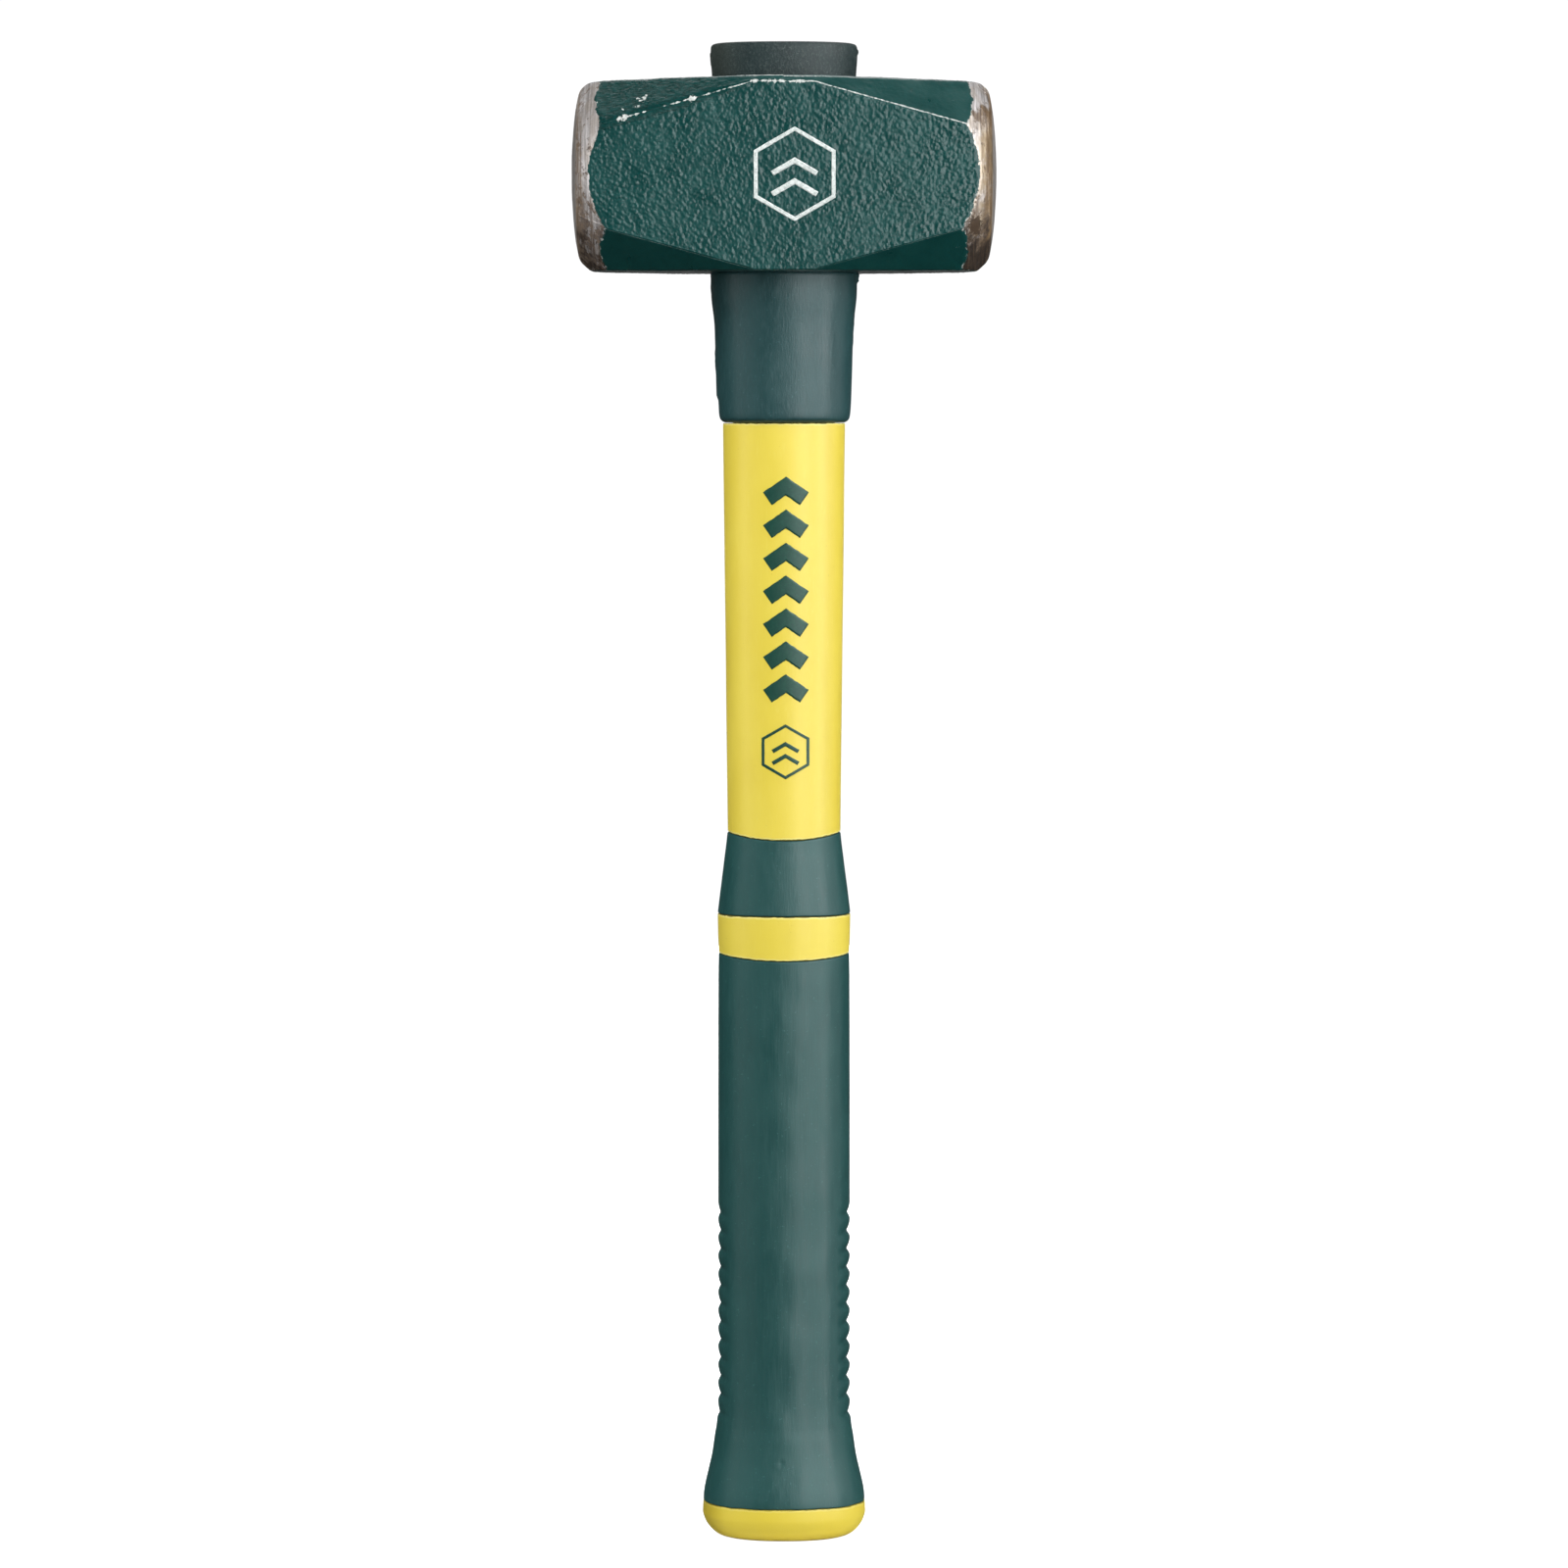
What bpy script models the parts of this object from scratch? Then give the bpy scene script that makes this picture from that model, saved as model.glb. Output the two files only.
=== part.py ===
"""Short-handled sledgehammer: forged double-faced octagonal head on a glass-fibre
cored, plastic jacketed handle with moulded grips.

Frame: metres, +Z up along the handle towards the head, origin at the centre of
the flat butt end. The head's length lies along X, its depth along Y.
"""

import math

import bmesh
import bpy

MM = 0.001
GAP = 0.3  # clearance between touching pieces, mm
HALF = GAP / 2.0
SEG = 40  # points around an oval section
SEG_IN = 32  # points around the core's section

# ---- overall -------------------------------------------------------------
OVERALL = 400.0

# ---- forged head ---------------------------------------------------------
HEAD_Z = 365.0  # height of the striking axis
HEAD_HALF_LEN = 56.4
HEAD_HALF_H_MID = 25.5  # the top is crowned a little towards the eye
HEAD_TOP_END = 24.6
HEAD_BOTTOM_END = 25.4
HEAD_HALF_D = 25.4  # the two cheeks are flat and parallel
CHEEK_FULL = 7.9  # the chamfers run out this far either side of the eye
LEG_TOP = (1.5, 11.85)  # leg of the upper chamfers where they run out, and at the turned ends
LEG_BOTTOM = (0.5, 11.1)  # the lower chamfers are a little smaller
TURN_START = 48.4  # where the turned bevel cuts the octagon's corners
TURN_START_R = 28.1
FACE_RIM_X = 54.4
FACE_RIM_R = 22.7
FACE_FLAT_R = 6.0  # small flat at the middle of the crowned face
CROWN_STEPS = 4
TURN_SEG = 56

# ---- eye, a waisted oval ---------------------------------------------------
EYE = ((-1.0, 15.6, 12.2), (0.0, 14.6, 11.2), (1.0, 16.2, 12.7))  # level, half width, half depth
EYE_POWER = 2.1

# ---- glass-fibre core ------------------------------------------------------
CORE_A, CORE_B, CORE_POWER = 10.0, 7.5, 2.3
CORE_BOTTOM = 5.0
CORE_TOP = 395.4

# ---- jacket under the grips, and its spigot in the collar -------------------
NECK_A, NECK_B = 13.0, 9.9
SPIGOT_A, SPIGOT_B = 13.6, 10.6
BODY_POWER = 2.2

# ---- joint heights, at the sides; the front and back of some dip -------------
Z_PLUG = 390.5
Z_COLLAR_TOP = 339.5
Z_COLLAR = 299.4
Z_CUFF = 189.9
DIP_CUFF = 1.7
Z_RING_TOP = 168.0
Z_RING = 157.3
DIP_RING = 1.25
Z_CAP = 9.1
CAP_FLOOR = 4.4

# ---- outer profiles: height, half width, half depth --------------------------
PLUG = (
    (390.5, 19.05, 15.25),
    (393.5, 19.25, 15.4),
    (397.0, 19.5, 15.6),
    (398.7, 19.35, 15.45),
    (399.6, 18.75, 14.85),
    (400.0, 17.6, 13.7),
)
COLLAR = (
    (299.4, 15.9, 12.6),
    (299.75, 16.7, 13.4),
    (300.6, 17.4, 14.05),
    (302.4, 17.7, 14.3),
    (312.8, 18.1, 14.6),
    (322.0, 18.35, 14.8),
    (325.4, 18.5, 14.9),
    (333.7, 19.35, 15.5),
    (339.5, 19.45, 15.6),
)
SHAFT = ((188.0, 15.03, 12.0), (299.4, 16.25, 12.85))
CUFF = (
    (168.0, 17.75, 14.1),
    (173.6, 17.08, 13.6),
    (178.4, 16.47, 13.1),
    (183.1, 15.88, 12.65),
    (186.8, 15.4, 12.25),
    (189.9, 15.05, 12.0),
)
RING = ((155.9, 17.45, 13.95), (157.3, 17.45, 13.95), (162.5, 17.65, 14.1), (168.0, 17.75, 14.15))
GRIP_TOP = ((155.9, 17.5, 13.9), (149.9, 17.57, 13.95), (94.2, 17.64, 14.0))
NOTCH_FIRST = 87.1  # height of the uppermost side notch
NOTCH_PITCH = 4.925
NOTCHES = 12
NOTCH_HALF = 1.15
NOTCH_DEPTH = 0.85
NOTCH_EDGE = 0.8  # share of the half width where a notch runs out
FLARE = (
    (30.3, 18.05, 14.3),
    (26.8, 18.6, 14.75),
    (22.0, 19.28, 15.3),
    (17.2, 20.35, 16.15),
    (12.4, 21.4, 17.0),
    (10.8, 21.6, 17.2),
    (9.1, 21.7, 17.3),
)
CAP = (
    (9.1, 21.75, 17.35),
    (6.0, 21.87, 17.5),
    (4.2, 21.4, 17.2),
    (2.6, 20.5, 16.5),
    (1.2, 19.2, 15.4),
    (0.35, 17.95, 14.3),
    (0.0, 16.9, 13.3),
)


# ---- geometry helpers --------------------------------------------------------
def at(profile, z):
    """Half width and half depth of a profile at height z, straight between its rows."""
    rows = sorted(profile)
    if z <= rows[0][0]:
        return rows[0][1:]
    for low, high in zip(rows, rows[1:]):
        if z <= high[0]:
            t = (z - low[0]) / (high[0] - low[0])
            return tuple(p + (q - p) * t for p, q in zip(low[1:], high[1:]))
    return rows[-1][1:]


def oval(a, b, z, power=BODY_POWER, count=SEG, dip=0.0):
    """A rounded oval at height z. With a dip, its front and back lie that much lower."""
    points = []
    for i in range(count):
        t = 2.0 * math.pi * i / count
        c, s = math.cos(t), math.sin(t)
        x = a * math.copysign(abs(c) ** (2.0 / power), c)
        y = b * math.copysign(abs(s) ** (2.0 / power), s)
        points.append((x * MM, y * MM, (z - dip * s * s) * MM))
    return points


def link(name, mesh, material):
    obj = bpy.data.objects.new(name, mesh)
    bpy.context.scene.collection.objects.link(obj)
    obj.parent = ASSEMBLY
    mesh.materials.append(material)
    return obj


def loft(name, loops, material, ring=False):
    """Skins a run of loops with equal point counts. A ring joins the last loop to the
    first; otherwise both end loops are capped."""
    bm = bmesh.new()
    rows = [[bm.verts.new(p) for p in loop] for loop in loops]
    pairs = list(zip(rows, rows[1:])) + ([(rows[-1], rows[0])] if ring else [])
    for low, high in pairs:
        n = len(low)
        for i in range(n):
            j = (i + 1) % n
            bm.faces.new((low[i], low[j], high[j], high[i]))
    if not ring:
        bm.faces.new(rows[0])
        bm.faces.new(rows[-1])
    bmesh.ops.recalc_face_normals(bm, faces=bm.faces[:])
    if bm.calc_volume(signed=True) < 0:
        bmesh.ops.reverse_faces(bm, faces=bm.faces[:])
    mesh = bpy.data.meshes.new(name)
    bm.to_mesh(mesh)
    bm.free()
    mesh.shade_smooth()
    mesh.set_sharp_from_angle(angle=math.radians(35))
    return link(name, mesh, material)


def paint(name, colour, roughness, metallic=0.0):
    material = bpy.data.materials.new(name)
    material.use_nodes = True
    shader = material.node_tree.nodes["Principled BSDF"]
    shader.inputs["Base Color"].default_value = (*colour, 1.0)
    shader.inputs["Roughness"].default_value = roughness
    shader.inputs["Metallic"].default_value = metallic
    return material


def boolean(target, cutter, operation):
    modifier = target.modifiers.new(operation.lower(), "BOOLEAN")
    modifier.operation = operation
    modifier.object = cutter
    modifier.solver = "EXACT"
    cutter.hide_render = True
    cutter.display_type = "WIRE"


# ---- scene ---------------------------------------------------------------------
for old in list(bpy.data.objects):
    bpy.data.objects.remove(old, do_unlink=True)

ASSEMBLY = bpy.data.objects.new("sledgehammer", None)
bpy.context.scene.collection.objects.link(ASSEMBLY)

HEAD_GREEN = paint("head_green_enamel", (0.035, 0.115, 0.105), 0.42, 0.0)
SLATE = paint("slate_green_moulding", (0.075, 0.145, 0.15), 0.5)
GREEN = paint("green_soft_grip", (0.06, 0.15, 0.145), 0.55)
YELLOW = paint("yellow_jacket", (0.88, 0.72, 0.12), 0.35)
RESIN = paint("amber_resin", (0.55, 0.42, 0.2), 0.3)
GLASS_FIBRE = paint("pultruded_glass_fibre", (0.72, 0.7, 0.58), 0.45)


# ---- hammer head ----------------------------------------------------------------
def octagon(x, up, down, end):
    """The forged section at x: end is 0 where the chamfers run out and 1 at the turned ends."""
    d = HEAD_HALF_D
    top, low = LEG_TOP[end], LEG_BOTTOM[end]
    ring = (
        (-d, -down + low), (-d, up - top), (-d + top, up), (d - top, up),
        (d, up - top), (d, -down + low), (d - low, -down), (-d + low, -down),
    )
    return [(x * MM, y * MM, (HEAD_Z + z) * MM) for y, z in ring]


def head():
    far = HEAD_HALF_LEN + 2.0
    stations = (
        (-far, HEAD_TOP_END, HEAD_BOTTOM_END, 1),
        (-TURN_START, HEAD_TOP_END, HEAD_BOTTOM_END, 1),
        (-CHEEK_FULL, HEAD_HALF_H_MID, HEAD_HALF_H_MID, 0),
        (CHEEK_FULL, HEAD_HALF_H_MID, HEAD_HALF_H_MID, 0),
        (TURN_START, HEAD_TOP_END, HEAD_BOTTOM_END, 1),
        (far, HEAD_TOP_END, HEAD_BOTTOM_END, 1),
    )
    block = loft("hammer_head", [octagon(*s) for s in stations], HEAD_GREEN)

    # The turned envelope: crowned faces, a rim, a bevel, then clear of the block.
    def turned(radius, x):
        return [
            (
                x * MM,
                radius * math.cos(2 * math.pi * (i + 0.5) / TURN_SEG) * MM,
                (HEAD_Z + radius * math.sin(2 * math.pi * (i + 0.5) / TURN_SEG)) * MM,
            )
            for i in range(TURN_SEG)
        ]

    rise = HEAD_HALF_LEN - FACE_RIM_X
    side = [(FACE_FLAT_R, HEAD_HALF_LEN)]
    for k in range(1, CROWN_STEPS + 1):
        r = FACE_FLAT_R + (FACE_RIM_R - FACE_FLAT_R) * k / CROWN_STEPS
        t = (r - FACE_FLAT_R) / (FACE_RIM_R - FACE_FLAT_R)
        side.append((r, HEAD_HALF_LEN - rise * (0.45 * t + 0.55 * t**3)))
    slope = (TURN_START_R - FACE_RIM_R) / (FACE_RIM_X - TURN_START)
    clear = 39.0
    side.append((clear, FACE_RIM_X - (clear - FACE_RIM_R) / slope))
    loops = [turned(r, x) for r, x in side] + [turned(r, -x) for r, x in reversed(side)]
    envelope = loft("turned_envelope", loops, HEAD_GREEN)
    boolean(block, envelope, "INTERSECT")

    eye_loops = [oval(EYE[0][1], EYE[0][2], HEAD_Z - 30.0, EYE_POWER)]
    for level, a, b in EYE:
        eye_loops.append(oval(a, b, HEAD_Z + level * HEAD_HALF_H_MID, EYE_POWER))
    eye_loops.append(oval(EYE[2][1], EYE[2][2], HEAD_Z + 30.0, EYE_POWER))
    cutter = loft("eye_cutter", eye_loops, HEAD_GREEN)
    boolean(block, cutter, "DIFFERENCE")


head()

# ---- core, bond, plug and collar -------------------------------------------------
loft(
    "core_rod",
    [
        oval(CORE_A - 0.6, CORE_B - 0.6, CORE_BOTTOM, CORE_POWER, SEG_IN),
        oval(CORE_A, CORE_B, CORE_BOTTOM + 0.6, CORE_POWER, SEG_IN),
        oval(CORE_A, CORE_B, CORE_TOP - 0.6, CORE_POWER, SEG_IN),
        oval(CORE_A - 0.6, CORE_B - 0.6, CORE_TOP, CORE_POWER, SEG_IN),
    ],
    GLASS_FIBRE,
)


def core_hole(z):
    return oval(CORE_A + GAP, CORE_B + GAP, z, CORE_POWER)


bond_bottom, bond_top = Z_COLLAR_TOP + 0.05, Z_PLUG - 0.05
loft(
    "eye_bond",
    [core_hole(bond_bottom)]
    + [
        oval(a - GAP, b - GAP, z, EYE_POWER)
        for z, (level, a, b) in zip((bond_bottom, HEAD_Z, bond_top), EYE)
    ]
    + [core_hole(bond_top)],
    RESIN,
    ring=True,
)

loft(
    "top_plug",
    [core_hole(CORE_TOP + GAP), core_hole(Z_PLUG + GAP)]
    + [oval(a, b, max(z, Z_PLUG + GAP)) for z, a, b in PLUG],
    SLATE,
)

loft(
    "head_collar",
    [oval(SPIGOT_A + GAP, SPIGOT_B + GAP, Z_COLLAR + HALF)]
    + [oval(a, b, min(max(z, Z_COLLAR + HALF), Z_COLLAR_TOP - GAP)) for z, a, b in COLLAR]
    + [oval(SPIGOT_A + GAP, SPIGOT_B + GAP, Z_COLLAR_TOP - GAP)],
    SLATE,
    ring=True,
)

# ---- jacket: neck under the grips, exposed shaft, spigot in the collar ------------
jacket_bottom = CAP_FLOOR + GAP
loft(
    "shaft_jacket",
    [
        core_hole(jacket_bottom),
        oval(NECK_A, NECK_B, jacket_bottom),
        oval(NECK_A, NECK_B, Z_CUFF + HALF - 2.0, dip=DIP_CUFF),
        oval(*at(SHAFT, Z_CUFF), Z_CUFF + HALF, dip=DIP_CUFF),
        oval(*at(SHAFT, 225.0), 225.0),
        oval(*at(SHAFT, 262.0), 262.0),
        oval(*at(SHAFT, Z_COLLAR), Z_COLLAR - HALF),
        oval(SPIGOT_A, SPIGOT_B, Z_COLLAR - HALF),
        oval(SPIGOT_A, SPIGOT_B, Z_COLLAR_TOP - GAP),
        core_hole(Z_COLLAR_TOP - GAP),
    ],
    YELLOW,
    ring=True,
)


def neck_hole(z, dip=0.0):
    return oval(NECK_A + GAP, NECK_B + GAP, z, dip=dip)


# ---- grip cuff ---------------------------------------------------------------------
top = Z_CUFF - HALF
cuff = [oval(*at(CUFF, Z_RING_TOP), Z_RING_TOP + HALF)]
for z in (173.6, 178.4, 183.1):
    cuff.append(oval(*at(CUFF, z), z))
cuff.append(oval(*at(CUFF, 186.6), 186.6, dip=0.4 * DIP_CUFF))
cuff.append(oval(*at(CUFF, Z_CUFF), top, dip=DIP_CUFF))
loft(
    "grip_cuff",
    [neck_hole(Z_RING_TOP + HALF)] + cuff + [neck_hole(top - 2.0, dip=DIP_CUFF)],
    GREEN,
    ring=True,
)

# ---- band between cuff and grip -----------------------------------------------------
low = Z_RING + HALF
loft(
    "grip_ring",
    [
        neck_hole(low, dip=DIP_RING),
        oval(17.2, 13.7, low, dip=DIP_RING),
        oval(*at(RING, Z_RING + 0.5), low + 0.4, dip=DIP_RING),
        oval(*at(RING, 162.5), 162.5),
        oval(*at(RING, 167.6), Z_RING_TOP - HALF - 0.4),
        oval(17.5, 13.9, Z_RING_TOP - HALF),
        neck_hole(Z_RING_TOP - HALF),
    ],
    YELLOW,
    ring=True,
)


# ---- main grip: plain upper part, notched sides, flared end ----------------------------
def grip_loop(z, depth=0.0, dip=0.0):
    """A grip section whose two sides are cut in by depth, fading out towards front and back."""
    profile = tuple(GRIP_TOP) + tuple(FLARE)
    a, b = at(profile, z)
    points = []
    for (x, y, height) in oval(a, b, z, dip=dip):
        side = max(0.0, (abs(x) / (a * MM) - NOTCH_EDGE) / (1.0 - NOTCH_EDGE))
        cut = depth * side * side * (3.0 - 2.0 * side)
        points.append((x - math.copysign(cut * MM, x) if cut else x, y, height))
    return points


grip_top = Z_RING - HALF
grip = [grip_loop(grip_top, dip=DIP_RING), grip_loop(150.0), grip_loop(122.0), grip_loop(94.2)]
for k in range(NOTCHES):
    centre = NOTCH_FIRST - k * NOTCH_PITCH
    depth = NOTCH_DEPTH * (0.75 if k == NOTCHES - 1 else 1.0)
    grip.append(grip_loop(centre + NOTCH_HALF))
    grip.append(grip_loop(centre, depth))
    grip.append(grip_loop(centre - NOTCH_HALF))
for z in (26.8, 22.0, 17.2, 12.4, 10.8):
    grip.append(grip_loop(z))
grip.append(grip_loop(Z_CAP + HALF))
loft(
    "grip_sleeve",
    [neck_hole(grip_top, dip=DIP_RING)] + grip + [neck_hole(Z_CAP + HALF)],
    GREEN,
    ring=True,
)

# ---- butt cap, a cup that closes the jacket and the core --------------------------------
loft(
    "butt_cap",
    [neck_hole(CAP_FLOOR), neck_hole(Z_CAP - HALF)]
    + [oval(a, b, min(z, Z_CAP - HALF)) for z, a, b in CAP],
    YELLOW,
)
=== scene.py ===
"""Visual model of the short sledgehammer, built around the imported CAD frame."""

import math

import bmesh
import bpy
import numpy as np
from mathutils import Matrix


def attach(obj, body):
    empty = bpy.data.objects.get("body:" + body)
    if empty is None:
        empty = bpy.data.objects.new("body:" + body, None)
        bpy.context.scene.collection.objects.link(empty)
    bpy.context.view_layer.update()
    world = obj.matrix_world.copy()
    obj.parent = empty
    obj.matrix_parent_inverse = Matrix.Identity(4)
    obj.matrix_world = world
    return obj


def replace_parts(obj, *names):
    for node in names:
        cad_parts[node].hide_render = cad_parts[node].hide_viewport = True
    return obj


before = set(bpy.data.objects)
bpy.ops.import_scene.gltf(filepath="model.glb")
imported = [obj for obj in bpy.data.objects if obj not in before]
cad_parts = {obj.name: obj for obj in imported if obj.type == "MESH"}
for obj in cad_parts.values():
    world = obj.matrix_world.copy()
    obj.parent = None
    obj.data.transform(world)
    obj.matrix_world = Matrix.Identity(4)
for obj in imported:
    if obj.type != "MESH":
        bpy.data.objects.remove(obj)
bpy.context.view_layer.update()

MM = 0.001
scene = bpy.context.scene

# ---- camera ------------------------------------------------------------------
DIST, TILT, AIM = 1.650, math.radians(3.6), 0.20265
camera_data = bpy.data.cameras.new("view_camera")
camera_data.lens = 141.22
camera_data.sensor_width = 36.0
camera_data.clip_start, camera_data.clip_end = 0.05, 20.0
camera = bpy.data.objects.new("view_camera", camera_data)
scene.collection.objects.link(camera)
camera.location = (0.0, -DIST * math.cos(TILT), AIM + DIST * math.sin(TILT))
camera.rotation_euler = (math.radians(90.0) - TILT, 0.0, 0.0)
scene.camera = camera


# ---- numbers: deterministic noise and curves -----------------------------------
def lattice(i, j, k, seed):
    """A value from 0 to 1 for each whole-numbered point."""
    h = (i * 73856093) ^ (j * 19349663) ^ (k * 83492791) ^ (seed * 2654435761)
    h = (h ^ ((h >> 13) & 0x7FFFF)) * 1274126177
    h = h & 0xFFFFFFFF
    h = ((h ^ (h >> 15)) * 2246822519) & 0xFFFFFFFF
    return ((h ^ (h >> 13)) & 0xFFFFFF) / float(0xFFFFFF)


def value_noise(p, seed):
    """Smooth noise from -1 to 1 at points p, an array of rows of three."""
    f = np.floor(p)
    i = f.astype(np.int64)
    t = p - f
    t = t * t * t * (t * (6.0 * t - 15.0) + 10.0)
    out = 0.0
    for dx in (0, 1):
        wx = t[:, 0] if dx else 1.0 - t[:, 0]
        for dy in (0, 1):
            wy = t[:, 1] if dy else 1.0 - t[:, 1]
            for dz in (0, 1):
                wz = t[:, 2] if dz else 1.0 - t[:, 2]
                out = out + wx * wy * wz * lattice(i[:, 0] + dx, i[:, 1] + dy, i[:, 2] + dz, seed)
    return 2.0 * out - 1.0


def noise(x, y, z, scale, seed, octaves=2, gain=0.5):
    """Fractal noise; scale is the size of its largest lumps, in the units of x, y and z."""
    p = np.stack(np.broadcast_arrays(x, y, z), -1).reshape(-1, 3) / scale
    total, amplitude, norm = 0.0, 1.0, 0.0
    for o in range(octaves):
        total = total + amplitude * value_noise(p * 2.0**o + 17.3 * o, seed + 101 * o)
        norm += amplitude
        amplitude *= gain
    return (total / norm).reshape(np.broadcast(x, y, z).shape)


def pebbles(x, y, z, scale, seed):
    """Rounded lumps packed side by side: 1 at a lump's middle, falling to 0 in the grooves."""
    p = np.stack(np.broadcast_arrays(x, y, z), -1).reshape(-1, 3) / scale
    i = np.floor(p).astype(np.int64)
    near = np.full(len(p), 9.0)
    second = np.full(len(p), 9.0)
    for dx in (-1, 0, 1):
        for dy in (-1, 0, 1):
            for dz in (-1, 0, 1):
                c = i + (dx, dy, dz)
                point = np.stack(
                    [c[:, a] + lattice(c[:, 0], c[:, 1], c[:, 2], seed + 7 * a) for a in range(3)], -1
                )
                d = ((point - p) ** 2).sum(-1)
                second = np.minimum(second, np.maximum(near, d))
                near = np.minimum(near, d)
    gap = np.sqrt(second) - np.sqrt(near)
    lump = np.clip(gap / 0.55, 0.0, 1.0)
    lump = lump * lump * (3.0 - 2.0 * lump)
    return (0.65 * lump + 0.35 * np.exp(-2.2 * near)).reshape(np.broadcast(x, y, z).shape)


def smooth(x, low, high):
    t = np.clip((x - low) / (high - low), 0.0, 1.0)
    return t * t * (3.0 - 2.0 * t)


def pchip(xs, ys, at):
    """Cubic through the points (xs, ys) that never overshoots them, read at the values at."""
    xs, ys, at = np.asarray(xs, float), np.asarray(ys, float), np.asarray(at, float)
    if xs[0] > xs[-1]:
        xs, ys = xs[::-1], ys[::-1]
    h, d = np.diff(xs), np.diff(ys) / np.diff(xs)
    m = np.zeros(len(xs))
    m[0], m[-1] = d[0], d[-1]
    for k in range(1, len(xs) - 1):
        if d[k - 1] * d[k] > 0:
            w1, w2 = 2 * h[k] + h[k - 1], h[k] + 2 * h[k - 1]
            m[k] = (w1 + w2) / (w1 / d[k - 1] + w2 / d[k])
    at = np.clip(at, xs[0], xs[-1])
    k = np.clip(np.searchsorted(xs, at) - 1, 0, len(h) - 1)
    t = (at - xs[k]) / h[k]
    return (
        (2 * t**3 - 3 * t**2 + 1) * ys[k]
        + (t**3 - 2 * t**2 + t) * h[k] * m[k]
        + (-2 * t**3 + 3 * t**2) * ys[k + 1]
        + (t**3 - t**2) * h[k] * m[k + 1]
    )


# ---- meshes --------------------------------------------------------------------
def volume(verts, faces):
    total = 0.0
    for f in faces:
        for k in range(1, f.shape[1] - 1):
            a, b, c = verts[f[:, 0]], verts[f[:, k]], verts[f[:, k + 1]]
            total += float(np.einsum("ij,ij->i", a, np.cross(b, c)).sum())
    return total


def piece(name, verts, faces, material, attributes=None):
    """A mesh object from points in mm, closed and facing outward, riding on the hammer's body."""
    if volume(verts, faces) < 0:
        faces = [f[:, ::-1] for f in faces]
    mesh = bpy.data.meshes.new(name)
    mesh.vertices.add(len(verts))
    mesh.vertices.foreach_set("co", (verts * MM).astype(np.float32).ravel())
    loops = np.concatenate([f.ravel() for f in faces]).astype(np.int32)
    counts = np.concatenate([np.full(len(f), f.shape[1]) for f in faces])
    mesh.loops.add(len(loops))
    mesh.loops.foreach_set("vertex_index", loops)
    mesh.polygons.add(len(counts))
    mesh.polygons.foreach_set(
        "loop_start", np.concatenate([[0], np.cumsum(counts)[:-1]]).astype(np.int32)
    )
    mesh.polygons.foreach_set("use_smooth", np.ones(len(counts), bool))
    mesh.update(calc_edges=True)
    mesh.validate()
    for key, values in (attributes or {}).items():
        layer = mesh.attributes.new(key, "FLOAT", "POINT")
        layer.data.foreach_set("value", np.asarray(values, np.float32).ravel())
    mesh.materials.append(material)
    obj = bpy.data.objects.new(name, mesh)
    scene.collection.objects.link(obj)
    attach(obj, "root")
    return obj


def skin(rings, closed):
    """Points and faces of a run of rings. Closed joins the last to the first; otherwise each end is filled to a middle point."""
    rows, n, _ = rings.shape
    verts = rings.reshape(-1, 3)
    i = np.arange(rows if closed else rows - 1)[:, None]
    j = np.arange(n)[None, :]
    i2, j2 = (i + 1) % rows, (j + 1) % n
    faces = [np.stack([i * n + j, i * n + j2, i2 * n + j2, i2 * n + j], -1).reshape(-1, 4)]
    if not closed:
        ends = []
        for row, way in ((0, 1), (rows - 1, -1)):
            middle = len(verts)
            verts = np.vstack([verts, rings[row].mean(0)])
            a, b = row * n + j[0], row * n + j2[0]
            ends.append(np.stack([np.full(n, middle), b, a][:: 1], -1) if way > 0 else np.stack([np.full(n, middle), a, b], -1))
        faces.append(np.vstack(ends))
    return verts, faces


def even_angles(a, b, power, count):
    """Angles whose points on a rounded oval lie evenly along it."""
    t = np.linspace(0.0, 2.0 * math.pi, 8001)
    x = a * np.sign(np.cos(t)) * np.abs(np.cos(t)) ** (2.0 / power)
    y = b * np.sign(np.sin(t)) * np.abs(np.sin(t)) ** (2.0 / power)
    s = np.concatenate([[0.0], np.cumsum(np.hypot(np.diff(x), np.diff(y)))])
    return np.interp(np.arange(count) / count * s[-1], s, t)


BODY_POWER = 2.2
COUNT = 256
ANGLE = even_angles(17.6, 14.0, BODY_POWER, COUNT)
COS, SIN = np.cos(ANGLE), np.sin(ANGLE)
UX = np.sign(COS) * np.abs(COS) ** (2.0 / BODY_POWER)
UY = np.sign(SIN) * np.abs(SIN) ** (2.0 / BODY_POWER)


def ovals(z, a, b, dip=0.0, power=BODY_POWER):
    """Rings of points, one for each of the heights z."""
    z, a, b, dip = np.broadcast_arrays(*[np.atleast_1d(np.asarray(v, float)) for v in (z, a, b, dip)])
    if power == BODY_POWER:
        ux, uy = UX, UY
    else:
        ux = np.sign(COS) * np.abs(COS) ** (2.0 / power)
        uy = np.sign(SIN) * np.abs(SIN) ** (2.0 / power)
    return np.stack(
        [a[:, None] * ux, b[:, None] * uy, z[:, None] - dip[:, None] * SIN**2], -1
    )


def outward(rings, a, b):
    """Horizontal unit directions out of each ring."""
    a, b = np.broadcast_to(a, len(rings))[:, None], np.broadcast_to(b, len(rings))[:, None]
    gx = np.sign(UX) * np.abs(UX) ** (BODY_POWER - 1.0) / a
    gy = np.sign(UY) * np.abs(UY) ** (BODY_POWER - 1.0) / b
    n = np.stack([gx, gy, np.zeros_like(gx)], -1)
    return n / np.linalg.norm(n, axis=-1, keepdims=True)


def push(rings, a, b, amount):
    return rings + outward(rings, a, b) * amount[..., None]


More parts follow.
